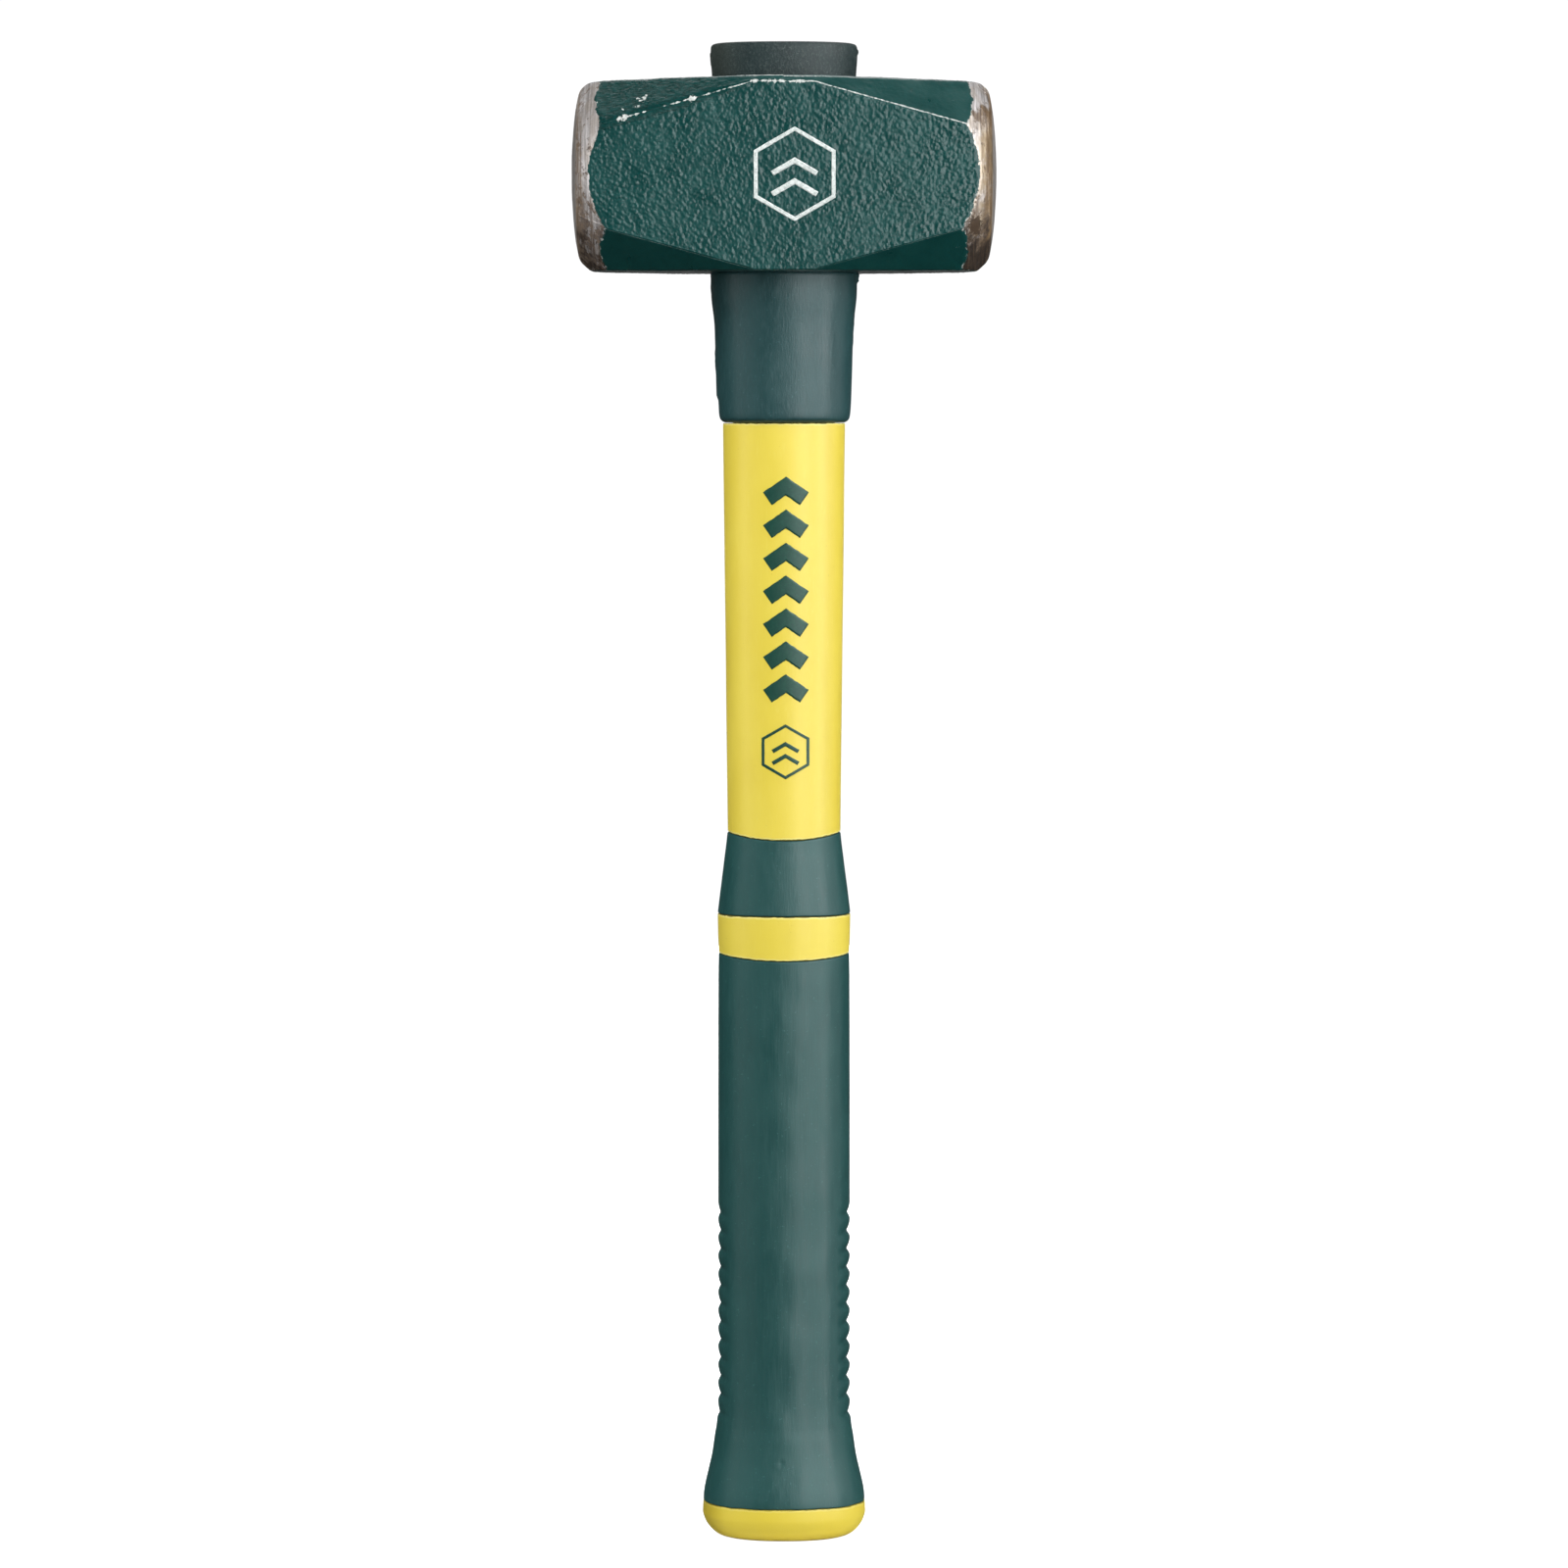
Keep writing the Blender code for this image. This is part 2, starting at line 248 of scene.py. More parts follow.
def shrink(ring, shares, heights, a_in, b_in):
    """Rings from ring towards the middle, at the given shares of its size and heights."""
    return np.stack([np.stack([ring[:, 0] * s, ring[:, 1] * s, ring[:, 2] * 0 + z], -1) for s, z in zip(shares, heights)])


def at(knots, z):
    ks = sorted(knots)
    zs = [k[0] for k in ks]
    return pchip(zs, [k[1] for k in ks], z), pchip(zs, [k[2] for k in ks], z)


# ---- material nodes --------------------------------------------------------------
class Look:
    """A Principled material and short ways to add procedural nodes to it. Lengths are in mm."""

    def __init__(self, name, **fixed):
        self.material = bpy.data.materials.new(name)
        self.material.use_nodes = True
        self.tree = self.material.node_tree
        self.shader = self.tree.nodes["Principled BSDF"]
        for key, value in fixed.items():
            self.shader.inputs[key.replace("_", " ")].default_value = value
        coords = self.tree.nodes.new("ShaderNodeTexCoord")
        self.place = self.vector("MULTIPLY", coords.outputs["Object"], (1000.0, 1000.0, 1000.0))

    def put(self, socket, value):
        if isinstance(value, bpy.types.NodeSocket):
            self.tree.links.new(value, socket)
        elif isinstance(value, (tuple, list)) and len(value) == 3 and len(socket.default_value) == 4:
            socket.default_value = (*value, 1.0)
        else:
            socket.default_value = value

    def math(self, operation, a, b=None, c=None, clamp=False):
        node = self.tree.nodes.new("ShaderNodeMath")
        node.operation, node.use_clamp = operation, clamp
        for k, v in enumerate((a, b, c)):
            if v is not None:
                self.put(node.inputs[k], v)
        return node.outputs[0]

    def vector(self, operation, a, b=None):
        node = self.tree.nodes.new("ShaderNodeVectorMath")
        node.operation = operation
        self.put(node.inputs[0], a)
        if b is not None:
            self.put(node.inputs[1], b)
        return node.outputs["Value" if operation in ("LENGTH", "DOT_PRODUCT", "DISTANCE") else "Vector"]

    def split(self, value=None):
        node = self.tree.nodes.new("ShaderNodeSeparateXYZ")
        self.put(node.inputs[0], value or self.place)
        return node.outputs

    def join(self, x, y, z):
        node = self.tree.nodes.new("ShaderNodeCombineXYZ")
        for k, v in enumerate((x, y, z)):
            self.put(node.inputs[k], v)
        return node.outputs[0]

    def attribute(self, name):
        node = self.tree.nodes.new("ShaderNodeAttribute")
        node.attribute_name = name
        return node.outputs["Fac"]

    def noise(self, size, detail=3.0, rough=0.55, stretch=(1.0, 1.0, 1.0), shift=0.0, place=None):
        """Noise around 0.5 whose lumps are about size mm, longer by stretch along each axis."""
        scaled = self.vector("DIVIDE", place or self.place, tuple(size * s for s in stretch))
        if shift:
            scaled = self.vector("ADD", scaled, (shift, shift * 0.7, -shift))
        node = self.tree.nodes.new("ShaderNodeTexNoise")
        node.inputs["Scale"].default_value = 1.0
        node.inputs["Detail"].default_value = detail
        node.inputs["Roughness"].default_value = rough
        self.put(node.inputs["Vector"], scaled)
        return node.outputs["Fac"]

    def cells(self, size, feature="F1", stretch=(1.0, 1.0, 1.0), shift=0.0):
        scaled = self.vector("DIVIDE", self.place, tuple(size * s for s in stretch))
        if shift:
            scaled = self.vector("ADD", scaled, (shift, -shift, shift))
        node = self.tree.nodes.new("ShaderNodeTexVoronoi")
        node.feature = feature
        node.inputs["Scale"].default_value = 1.0
        self.put(node.inputs["Vector"], scaled)
        return node.outputs["Distance"]

    def span(self, value, low, high, to_low=0.0, to_high=1.0, kind="SMOOTHSTEP"):
        node = self.tree.nodes.new("ShaderNodeMapRange")
        node.interpolation_type = kind
        for k, v in enumerate((value, low, high, to_low, to_high)):
            self.put(node.inputs[k], v)
        return node.outputs[0]

    def mix(self, factor, a, b, blend="MIX"):
        node = self.tree.nodes.new("ShaderNodeMix")
        node.data_type = "RGBA"
        node.blend_type = blend
        self.put(node.inputs["Factor"], factor)
        self.put(node.inputs[6], a)
        self.put(node.inputs[7], b)
        return node.outputs[2]

    def number(self, factor, a, b):
        node = self.tree.nodes.new("ShaderNodeMix")
        node.data_type = "FLOAT"
        self.put(node.inputs["Factor"], factor)
        self.put(node.inputs[2], a)
        self.put(node.inputs[3], b)
        return node.outputs[0]

    def bump(self, height, depth, strength=1.0, under=None):
        """Bump whose height input 1 stands for depth mm."""
        node = self.tree.nodes.new("ShaderNodeBump")
        node.inputs["Strength"].default_value = strength
        node.inputs["Distance"].default_value = depth * MM
        self.put(node.inputs["Height"], height)
        if under is not None:
            self.put(node.inputs["Normal"], under)
        return node.outputs["Normal"]

    def set(self, **sockets):
        for key, value in sockets.items():
            self.put(self.shader.inputs[key.replace("_", " ")], value)
        return self.material


def moulded_green(name, base, dark, light, roughness, streak, tint=None, grainy=1.0):
    """Moulded green plastic or rubber: cloudy tone, fine lengthwise flow lines, dust and rubbed spots."""
    look = Look(name, Specular_IOR_Level=0.5)
    cloud = look.noise(9.0, 4.0, 0.6, (1.0, 1.0, 1.8))
    fine = look.noise(0.55, 3.0, 0.6, (1.0, 1.0, streak))
    grain = look.noise(0.22, 2.0, 0.5)
    colour = look.mix(look.span(cloud, 0.3, 0.7), dark, base)
    colour = look.mix(look.span(fine, 0.45, 0.8, 0.0, min(1.0, 0.55 * grainy)), colour, light)
    dust = look.span(look.noise(0.7, 2.0, 0.5, shift=11.0), 0.66, 0.74)
    colour = look.mix(look.math("MULTIPLY", dust, 0.3), colour, tuple(min(1.0, 2.2 * v + 0.02) for v in light))
    rough = look.math(
        "ADD",
        look.span(cloud, 0.3, 0.7, roughness - 0.04, roughness + 0.05),
        look.span(fine, 0.3, 0.7, -0.04, 0.05),
    )
    normal = look.bump(fine, 0.035 * grainy)
    normal = look.bump(grain, 0.012 * grainy, under=normal)
    if tint is not None:
        colour = tint(look, colour)
    return look.set(Base_Color=colour, Roughness=rough, Normal=normal)


def moulded_yellow(name):
    look = Look(name, Specular_IOR_Level=0.5)
    cloud = look.noise(14.0, 3.0, 0.5, (1.0, 1.0, 2.0))
    fine = look.noise(0.5, 3.0, 0.6, (1.0, 1.0, 7.0))
    colour = look.mix(look.span(cloud, 0.3, 0.7), YELLOW_DEEP, YELLOW_BASE)
    colour = look.mix(look.span(fine, 0.5, 0.85, 0.0, 0.25), colour, YELLOW_PALE)
    # painted light at every joint: the paler line just inside it is a painted highlight on the rounded edge, and the
    # dark line right at it is painted shadow in the gap
    edge = look.math("ADD", look.attribute("rim"), look.span(look.noise(1.6), 0.3, 0.7, -0.12, 0.12))
    colour = look.mix(look.math("MULTIPLY", look.span(edge, 0.75, 0.35), 0.65), colour, YELLOW_EDGE_HIGHLIGHT)
    colour = look.mix(look.math("MULTIPLY", look.span(edge, 0.26, 0.08), 0.9), colour, (0.16, 0.13, 0.02))
    speck = look.span(look.noise(0.5, 2.0, 0.5, shift=5.0), 0.72, 0.78)
    colour = look.mix(look.math("MULTIPLY", speck, 0.35), colour, (0.35, 0.27, 0.03))
    height = look.split()[2]
    # the cap below 9.8 mm is mixed towards a duller yellow; the mix is weaker towards the bottom, painted light that
    # keeps the down-facing rounding bright
    dull = look.span(height, 9.8, 8.6)
    colour = look.mix(look.math("MULTIPLY", dull, look.span(height, 1.0, 4.5, 0.20, 0.62)), colour, (0.62, 0.49, 0.045))
    # painted shade: the cap's left side is darkened to a deep olive
    side = look.math("MULTIPLY", dull, look.span(look.split()[0], -15.0, -21.0))
    colour = look.mix(look.math("MULTIPLY", side, 0.55), colour, (0.36, 0.27, 0.008))
    # painted shade: the lowest 2.4 mm of the cap is darkened a little
    low = look.span(height, 2.4, 0.2)
    colour = look.mix(look.math("MULTIPLY", low, 0.12), colour, (0.42, 0.27, 0.03))
    rough = look.math(
        "ADD", look.span(cloud, 0.3, 0.7, 0.36, 0.44), look.span(fine, 0.3, 0.7, -0.03, 0.04)
    )
    normal = look.bump(fine, 0.015)
    normal = look.bump(look.noise(0.3, 2.0, 0.5), 0.006, under=normal)
    return look.set(Base_Color=colour, Roughness=rough, Normal=normal, Specular_IOR_Level=look.span(dull, 0.0, 1.0, 0.5, 0.36))


YELLOW_BASE = (0.86, 0.70, 0.085)
YELLOW_DEEP = (0.82, 0.655, 0.07)
YELLOW_PALE = (0.92, 0.80, 0.17)
# painted highlight colour for the rounded edge just inside each joint
YELLOW_EDGE_HIGHLIGHT = (0.95, 0.86, 0.30)

GRIP_GREEN = moulded_green(
    "grip_rubber", (0.0150, 0.075, 0.072), (0.0120, 0.066, 0.064), (0.022, 0.088, 0.085), 0.42, 14.0
)


# painted reflection: a brownish cast on the left side of the plug
def brownish_painted_reflection(look, colour):
    x, y, z = look.split()
    side = look.math("MULTIPLY", look.span(x, -8.0, -19.0), look.span(z, 389.0, 391.0))
    return look.mix(look.math("MULTIPLY", side, 0.45), colour, (0.05, 0.055, 0.045))


SLATE = moulded_green(
    "slate_plastic", (0.0165, 0.062, 0.066), (0.0135, 0.054, 0.058), (0.026, 0.076, 0.081), 0.38, 5.0, None, 1.5
)
PLUG_SLATE = moulded_green(
    "plug_plastic", (0.0100, 0.024, 0.025), (0.0045, 0.014, 0.015), (0.044, 0.062, 0.060), 0.55, 1.6, brownish_painted_reflection, 4.0
)
YELLOW = moulded_yellow("yellow_plastic")


# bare specks on the front chamfer: x, height above its lower crease, radius, all in mm
SPECKS = ((-42.4, 2.2, 0.50), (-38.4, 1.8, 0.45), (-36.8, 3.5, 0.72), (-36.2, 4.1, 0.48), (-38.4, 3.9, 0.40), (-37.6, 3.1, 0.36))


def head_look():
    """Green enamel over forged steel, worn off along the creases and gone from the turned ends."""
    look = Look("head_enamel", Specular_IOR_Level=0.5)
    x, y, z = look.split()
    # enamel
    tone = look.noise(7.0, 4.0, 0.6)
    fine = look.noise(0.8, 3.0, 0.6)
    enamel = look.mix(look.span(tone, 0.3, 0.7), (0.0010, 0.045, 0.042), (0.0018, 0.056, 0.052))
    enamel = look.mix(look.span(fine, 0.55, 0.8, 0.0, 0.30), enamel, (0.006, 0.072, 0.067))
    # painted shade: small dents in the enamel are darkened
    pit = look.span(look.noise(0.9, 2.0, 0.5, shift=3.0), 0.30, 0.22)
    enamel = look.mix(look.math("MULTIPLY", pit, 0.6), enamel, (0.003, 0.02, 0.019))
    enamel_rough = look.span(tone, 0.3, 0.7, 0.27, 0.37)
    ripple = look.noise(0.62, 3.0, 0.6, (2.6, 1.0, 0.8), shift=13.0)
    chamfer = look.math("MULTIPLY", look.span(look.attribute("coarse"), 0.20, 0.34), look.span(look.attribute("coarse"), 0.95, 0.75))
    # painted shade: on the upper left chamfer the enamel is darkened in the troughs of the ripple
    creased = look.math("MULTIPLY", look.math("MULTIPLY", chamfer, look.span(x, -2.0, -26.0)), look.span(z, 366.0, 372.0))
    enamel = look.mix(look.math("MULTIPLY", creased, look.span(ripple, 0.40, 0.58, 0.85, 0.10)), enamel, (0.0003, 0.024, 0.021))
    # turned steel: marks run round the X axis, with rust and oil stains
    up = look.math("SUBTRACT", z, 365.0)
    radius = look.math("SQRT", look.math("ADD", look.math("MULTIPLY", y, y), look.math("MULTIPLY", up, up)))
    turn = look.math("MULTIPLY", look.math("ARCTAN2", up, y), 6.0)
    lathe = look.noise(1.0, 4.0, 0.65, (0.5, 0.5, 3.0), place=look.join(x, radius, turn))
    smear = look.noise(5.0, 4.0, 0.62, (0.7, 1.0, 1.5))
    steel = look.mix(look.span(lathe, 0.3, 0.70), (0.40, 0.37, 0.36), (0.90, 0.865, 0.86))
    steel = look.mix(look.span(smear, 0.42, 0.62, 0.0, 0.50), steel, (0.50, 0.42, 0.34))
    right = look.span(x, 30.0, 50.0)
    tan = look.math("MULTIPLY", right, look.span(look.noise(4.0, 4.0, 0.6, shift=9.0), 0.30, 0.55))
    tan = look.math("MULTIPLY", tan, look.span(up, 17.0, 9.0))
    tan = look.math("MULTIPLY", tan, look.span(x, 50.6, 52.2, 0.45, 1.0))
    steel = look.mix(look.math("MULTIPLY", tan, 0.85), steel, look.mix(look.span(lathe, 0.4, 0.75), (0.27, 0.19, 0.10), (0.62, 0.50, 0.34)))
    # long brown streaks that follow the turning, more of them towards the face and towards the bottom; the extra rust
    # towards the bottom is also painted shade on the down-facing steel
    streak = look.noise(1.0, 4.0, 0.62, (0.9, 0.9, 9.0), shift=6.0, place=look.join(look.math("ABSOLUTE", x), radius, turn))
    low = look.span(up, 4.0, -24.0)
    outer = look.span(look.math("ABSOLUTE", x), 51.5, 55.5)
    weather_and_shade = look.math("ADD", look.math("MULTIPLY", low, 0.16), look.math("MULTIPLY", outer, 0.10))
    patchy = look.math("ADD", look.noise(3.0, 5.0, 0.66, shift=4.0), weather_and_shade)
    patchy = look.math("MAXIMUM", patchy, look.math("ADD", look.math("SUBTRACT", streak, 0.01), weather_and_shade))
    rust = look.span(patchy, 0.57, 0.66)
    rust_colour = look.mix(look.span(fine, 0.35, 0.65), (0.050, 0.030, 0.018), (0.15, 0.095, 0.052))
    steel = look.mix(look.math("MULTIPLY", rust, 0.86), steel, rust_colour)
    far = look.math("ADD", look.math("ABSOLUTE", x), look.span(smear, 0.3, 0.7, -0.8, 0.8))
    rim = look.math("MULTIPLY", look.span(far, 52.8, 54.4), look.span(right, 0.0, 1.0, 0.30, 0.78))
    steel = look.mix(rim, steel, look.mix(look.span(lathe, 0.35, 0.75), (0.10, 0.055, 0.022), (0.36, 0.25, 0.13)))
    patch = look.math("MULTIPLY", look.span(look.math("ABSOLUTE", look.math("SUBTRACT", up, look.span(smear, 0.3, 0.7, 13.0, 18.0))), 3.4, 1.2), right)
    steel = look.mix(look.math("MULTIPLY", patch, 0.80), steel, look.mix(look.span(lathe, 0.35, 0.75), (0.085, 0.045, 0.018), (0.24, 0.15, 0.07)))
    blot = look.noise(1.3, 4.0, 0.65, shift=41.0)
    spot = look.vector("DISTANCE", look.join(x, 0.0, look.math("MULTIPLY", up, 0.8)), (50.2, 0.0, -11.1))
    spot = look.math("ADD", spot, look.span(blot, 0.3, 0.7, -0.9, 0.9))
    steel = look.mix(look.span(spot, 2.3, 1.3, 0.0, 0.88), steel, (0.040, 0.021, 0.008))
    # the undersides of both ends are darkened: painted shade and a painted dark reflection where the steel faces down,
    # over brown scale
    under = look.span(look.math("ADD", up, look.span(smear, 0.3, 0.7, -5.0, 5.0)), -11.5, -20.0)
    under = look.math("MULTIPLY", under, look.span(look.noise(2.4, 4.0, 0.62, shift=17.0), 0.42, 0.56, look.span(right, 0.0, 1.0, 0.25, 0.97), look.span(right, 0.0, 1.0, 0.92, 1.0)))
    inner = look.math("MULTIPLY", look.span(far, 52.2, 50.6), look.span(right, 0.0, 1.0, 0.70, 0.0))
    under = look.math("MULTIPLY", under, look.math("SUBTRACT", 1.0, look.math("MULTIPLY", inner, look.span(up, -22.5, -18.0))))
    steel = look.mix(under, steel, look.mix(look.span(lathe, 0.35, 0.75), (0.017, 0.011, 0.007), (0.070, 0.045, 0.028)))
    # the two striking faces are ground flat: plain grey steel with faint rings and a few stains
    struck = look.math("MULTIPLY", look.span(radius, 21.6, 18.5), look.span(look.math("ABSOLUTE", x), 54.2, 55.0))
    rings = look.noise(0.55, 3.0, 0.55, (40.0, 1.0, 60.0), shift=31.0, place=look.join(x, radius, turn))
    stain = look.noise(9.0, 5.0, 0.6, shift=33.0)
    ground = look.mix(look.span(rings, 0.35, 0.65, 0.0, 1.0), (0.34, 0.325, 0.31), (0.47, 0.455, 0.44))
    ground = look.mix(look.span(stain, 0.50, 0.66, 0.0, 0.45), ground, (0.20, 0.165, 0.13))
    steel = look.mix(look.math("MULTIPLY", struck, 0.88), steel, ground)
    # rust together with the painted underside shade; both make the steel rougher and less metallic
    rust_and_shade = look.math("MULTIPLY", look.math("MAXIMUM", rust, under), look.span(struck, 0.0, 1.0, 1.0, 0.25))
    steel_rough = look.math(
        "ADD", look.span(lathe, 0.3, 0.7, 0.36, 0.50), look.math("MULTIPLY", rust_and_shade, 0.30)
    )
    # where the enamel is gone: the turned ends with a ragged edge, and the rubbed creases
    ragged = look.math("ADD", look.attribute("bare"), look.span(look.noise(2.4, 5.0, 0.65), 0.3, 0.7, -0.38, 0.38))
    ends = look.span(ragged, -0.08, 0.12)
    lip = look.math("MULTIPLY", look.span(ragged, -0.30, -0.10), look.span(look.noise(1.6, 3.0, 0.6, shift=8.0), 0.52, 0.64))
    crease, wear = look.attribute("crease"), look.attribute("wear")
    reach = look.math("MULTIPLY", wear, look.span(look.noise(0.8, 4.0, 0.68, shift=21.0), 0.34, 0.58, 0.10, 1.20, "LINEAR"))
    rubbed = look.span(look.math("SUBTRACT", reach, crease), -0.03, 0.08)
    streaks = look.noise(0.7, 3.0, 0.6, (6.0, 1.0, 1.6), shift=2.0)
    scuff = look.math(
        "MULTIPLY",
        look.span(look.attribute("bare"), -7.0, -1.0),
        look.span(streaks, 0.70, 0.78, 0.0, 0.45),
    )
    worn = look.math("MAXIMUM", rubbed, look.math("MAXIMUM", lip, scuff))
    jitter = look.vector("ADD", look.place, look.join(look.span(fine, 0.0, 1.0, -0.9, 0.9), 0.0, look.span(tone, 0.0, 1.0, -0.5, 0.5)))
    for cx, rise, size in SPECKS:
        foot = 389.0 - 11.25 * (abs(cx) - 7.9) / 40.5
        gone = look.vector("DISTANCE", jitter, (cx, -25.4 + rise, foot + rise))
        worn = look.math("MAXIMUM", worn, look.span(gone, size, size * 0.7))
    worn_colour = look.mix(look.span(fine, 0.3, 0.7), (0.42, 0.47, 0.45), (0.78, 0.80, 0.77))
    colour = look.mix(worn, enamel, worn_colour)
    colour = look.mix(ends, colour, steel)
    rough = look.number(worn, enamel_rough, 0.42)
    rough = look.number(ends, rough, steel_rough)
    metal = look.math("MULTIPLY", ends, look.span(rust_and_shade, 0.0, 1.0, 0.62, 0.15))
    lumps = look.math("MULTIPLY", look.cells(0.72, "SMOOTH_F1", (1.0, 1.0, 1.3)), look.span(look.attribute("coarse"), 0.2, 1.0, -0.015, -0.115))
    rippled = look.math("MULTIPLY", look.span(look.attribute("coarse"), 0.20, 0.34), look.span(x, 6.0, -30.0, 0.02, 0.105))
    lumps = look.math("ADD", lumps, look.math("MULTIPLY", ripple, look.math("MULTIPLY", rippled, look.span(look.attribute("coarse"), 0.95, 0.75))))
    height = look.math("SUBTRACT", look.math("ADD", lumps, look.math("MULTIPLY", fine, 0.035)), look.math("MULTIPLY", look.math("MAXIMUM", ends, worn), 0.06))
    normal = look.bump(height, 1.0)
    normal = look.bump(look.math("MULTIPLY", lathe, look.math("MULTIPLY", ends, 0.05)), 1.0, under=normal)
    normal = look.bump(look.math("MULTIPLY", pit, -0.04), 1.0, under=normal)
    return look.set(Base_Color=colour, Roughness=rough, Metallic=metal, Normal=normal)


HEAD = head_look()


def ink(name, light, dark, roughness):
    """Printed ink: slightly uneven cover over the moulding or enamel below."""
    look = Look(name, Specular_IOR_Level=0.5)
    cover = look.span(look.noise(0.9, 4.0, 0.65), 0.34, 0.56)
    grain = look.noise(0.25, 2.0, 0.5)
    colour = look.mix(cover, dark, light)
    rough = look.span(grain, 0.3, 0.7, roughness - 0.06, roughness + 0.08)
    return look.set(Base_Color=colour, Roughness=rough, Normal=look.bump(grain, 0.01))


WHITE_INK = ink("white_ink", (0.74, 0.79, 0.77), (0.52, 0.58, 0.56), 0.45)
GREEN_INK = ink("green_ink", (0.002, 0.048, 0.034), (0.004, 0.060, 0.040), 0.42)


def inner_look(name, light, dark, roughness, stretch):
    look = Look(name, Specular_IOR_Level=0.5)
    strand = look.noise(0.4, 3.0, 0.6, (1.0, 1.0, stretch))
    colour = look.mix(look.span(strand, 0.3, 0.7), dark, light)
    rough = look.span(strand, 0.3, 0.7, roughness, roughness + 0.15)
    return look.set(Base_Color=colour, Roughness=rough, Normal=look.bump(strand, 0.03))


def dress(node, material):
    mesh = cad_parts[node].data
    mesh.materials.clear()
    mesh.materials.append(material)


dress("core_rod", inner_look("glass_fibre_rod", (0.62, 0.60, 0.48), (0.42, 0.40, 0.30), 0.35, 60.0))
dress("eye_bond", inner_look("amber_resin", (0.45, 0.32, 0.13), (0.30, 0.20, 0.07), 0.22, 1.0))

# ---- hammer head -------------------------------------------------------------------
HEAD_Z = 365.0
HALF_D, HALF_H_MID, TOP_END, BOTTOM_END = 25.4, 25.5, 24.6, 25.4
CHEEK_FULL, TURN_START, TURN_START_R = 7.9, 48.4, 28.1
RIM_X, RIM_R, HALF_LEN, FLAT_R = 54.4, 22.7, 56.4, 6.0
LEG_TOP, LEG_BOTTOM = (1.5, 11.85), (0.5, 11.1)
SLOPE = (TURN_START_R - RIM_R) / (RIM_X - TURN_START)


def head_rows():
    """Stations along the head: pairs of x and the turned radius there."""
    body = np.linspace(-47.6, 47.6, 241)
    cone = np.linspace(47.95, RIM_X - 0.75, 15)
    rows = [(x, RIM_R + (RIM_X - abs(x)) * SLOPE) for x in body]
    end = [(x, RIM_R + (RIM_X - x) * SLOPE) for x in cone]

    def crown(r):
        t = np.clip((r - FLAT_R) / (RIM_R - FLAT_R), 0.0, 1.0)
        return HALF_LEN - (HALF_LEN - RIM_X) * (0.45 * t + 0.55 * t**3) + 0.04 * (1.0 - (r / RIM_R) ** 2)

    start = np.array(end[-1])
    corner = np.array((RIM_X, RIM_R))
    stop = np.array((crown(RIM_R - 1.3), RIM_R - 1.3))
    for s in (0.2, 0.4, 0.6, 0.8, 1.0):
        end.append(tuple((1 - s) ** 2 * start + 2 * s * (1 - s) * corner + s * s * stop))
    end += [(crown(r), r) for r in (20.5, 19.2, 17.6, 16.0, 14.2, 12.2, 10.0, 7.8, 5.8, 4.0, 2.4, 1.0)]
    return np.array([(-x, r) for x, r in end[::-1]] + rows + end)


def head_section(x):
    """The forged section at x: points (y, up), distance to the nearest crease, which crease, and how rough its face is."""
    t = min(1.0, max(0.0, (abs(x) - CHEEK_FULL) / (TURN_START - CHEEK_FULL)))
    up = HALF_H_MID + (TOP_END - HALF_H_MID) * t
    down = HALF_H_MID + (BOTTOM_END - HALF_H_MID) * t
    top = LEG_TOP[0] + (LEG_TOP[1] - LEG_TOP[0]) * t
    low = 0.15 + (LEG_BOTTOM[1] - 0.15) * t
    d = HALF_D
    corners = np.array(
        [(-d, -down + low), (-d, up - top), (-d + top, up), (d - top, up), (d, up - top), (d, -down + low), (d - low, -down), (-d + low, -down)]
    )
    left = float(smooth(-x, 4.0, 26.0))
    wanted = (0.8, 0.6 + 3.2 * left, 1.2, 1.2, 0.6 + 2.0 * left, 0.8, 1.2, 1.2)
    samples = (132, 16, 18, 10, 60, 10, 18, 10)
    # the upper chamfers are rippled at the left end and nearly smooth at the right
    chamfer = 0.30 + 0.15 * float(smooth(-x, 0.0, 40.0))
    rough = (1.0, chamfer, 0.55, chamfer, 1.0, 0.16, 0.55, 0.16)
    sides = np.roll(corners, -1, 0) - corners
    lengths = np.hypot(*sides.T)
    ways = sides / lengths[:, None]
    points, crease, index, face = [], [], [], []
    tangent = []
    for k in range(8):
        tangent.append(min(wanted[k] * math.tan(math.radians(22.5)), 0.42 * lengths[k - 1], 0.42 * lengths[k]))
    for k in range(8):
        s0 = corners[k] - ways[k - 1] * tangent[k]
        s1 = corners[k] + ways[k] * tangent[k]
        low_rough = min(rough[k - 1], rough[k])
        for s in (0.0, 0.25, 0.5, 0.75):
            points.append((1 - s) ** 2 * s0 + 2 * s * (1 - s) * corners[k] + s * s * s1)
            crease.append(abs(s - 0.5) * 2.0 * tangent[k])
            index.append(k)
            face.append(low_rough)
        n = samples[k]
        nxt = (k + 1) % 8
        e1 = corners[nxt] - ways[k] * tangent[nxt]
        run = float(np.hypot(*(e1 - s1)))
        for m in range(n):
            s = m / n
            points.append(s1 + (e1 - s1) * s)
            near, far = s * run + tangent[k], (1 - s) * run + tangent[nxt]
            crease.append(min(near, far))
            index.append(k if near < far else nxt)
            blend = float(smooth(min(s, 1 - s) * run, -0.25, 0.45))
            face.append(low_rough + (rough[k] - low_rough) * blend)
    return np.array(points), np.array(crease), np.array(index), np.array(face)


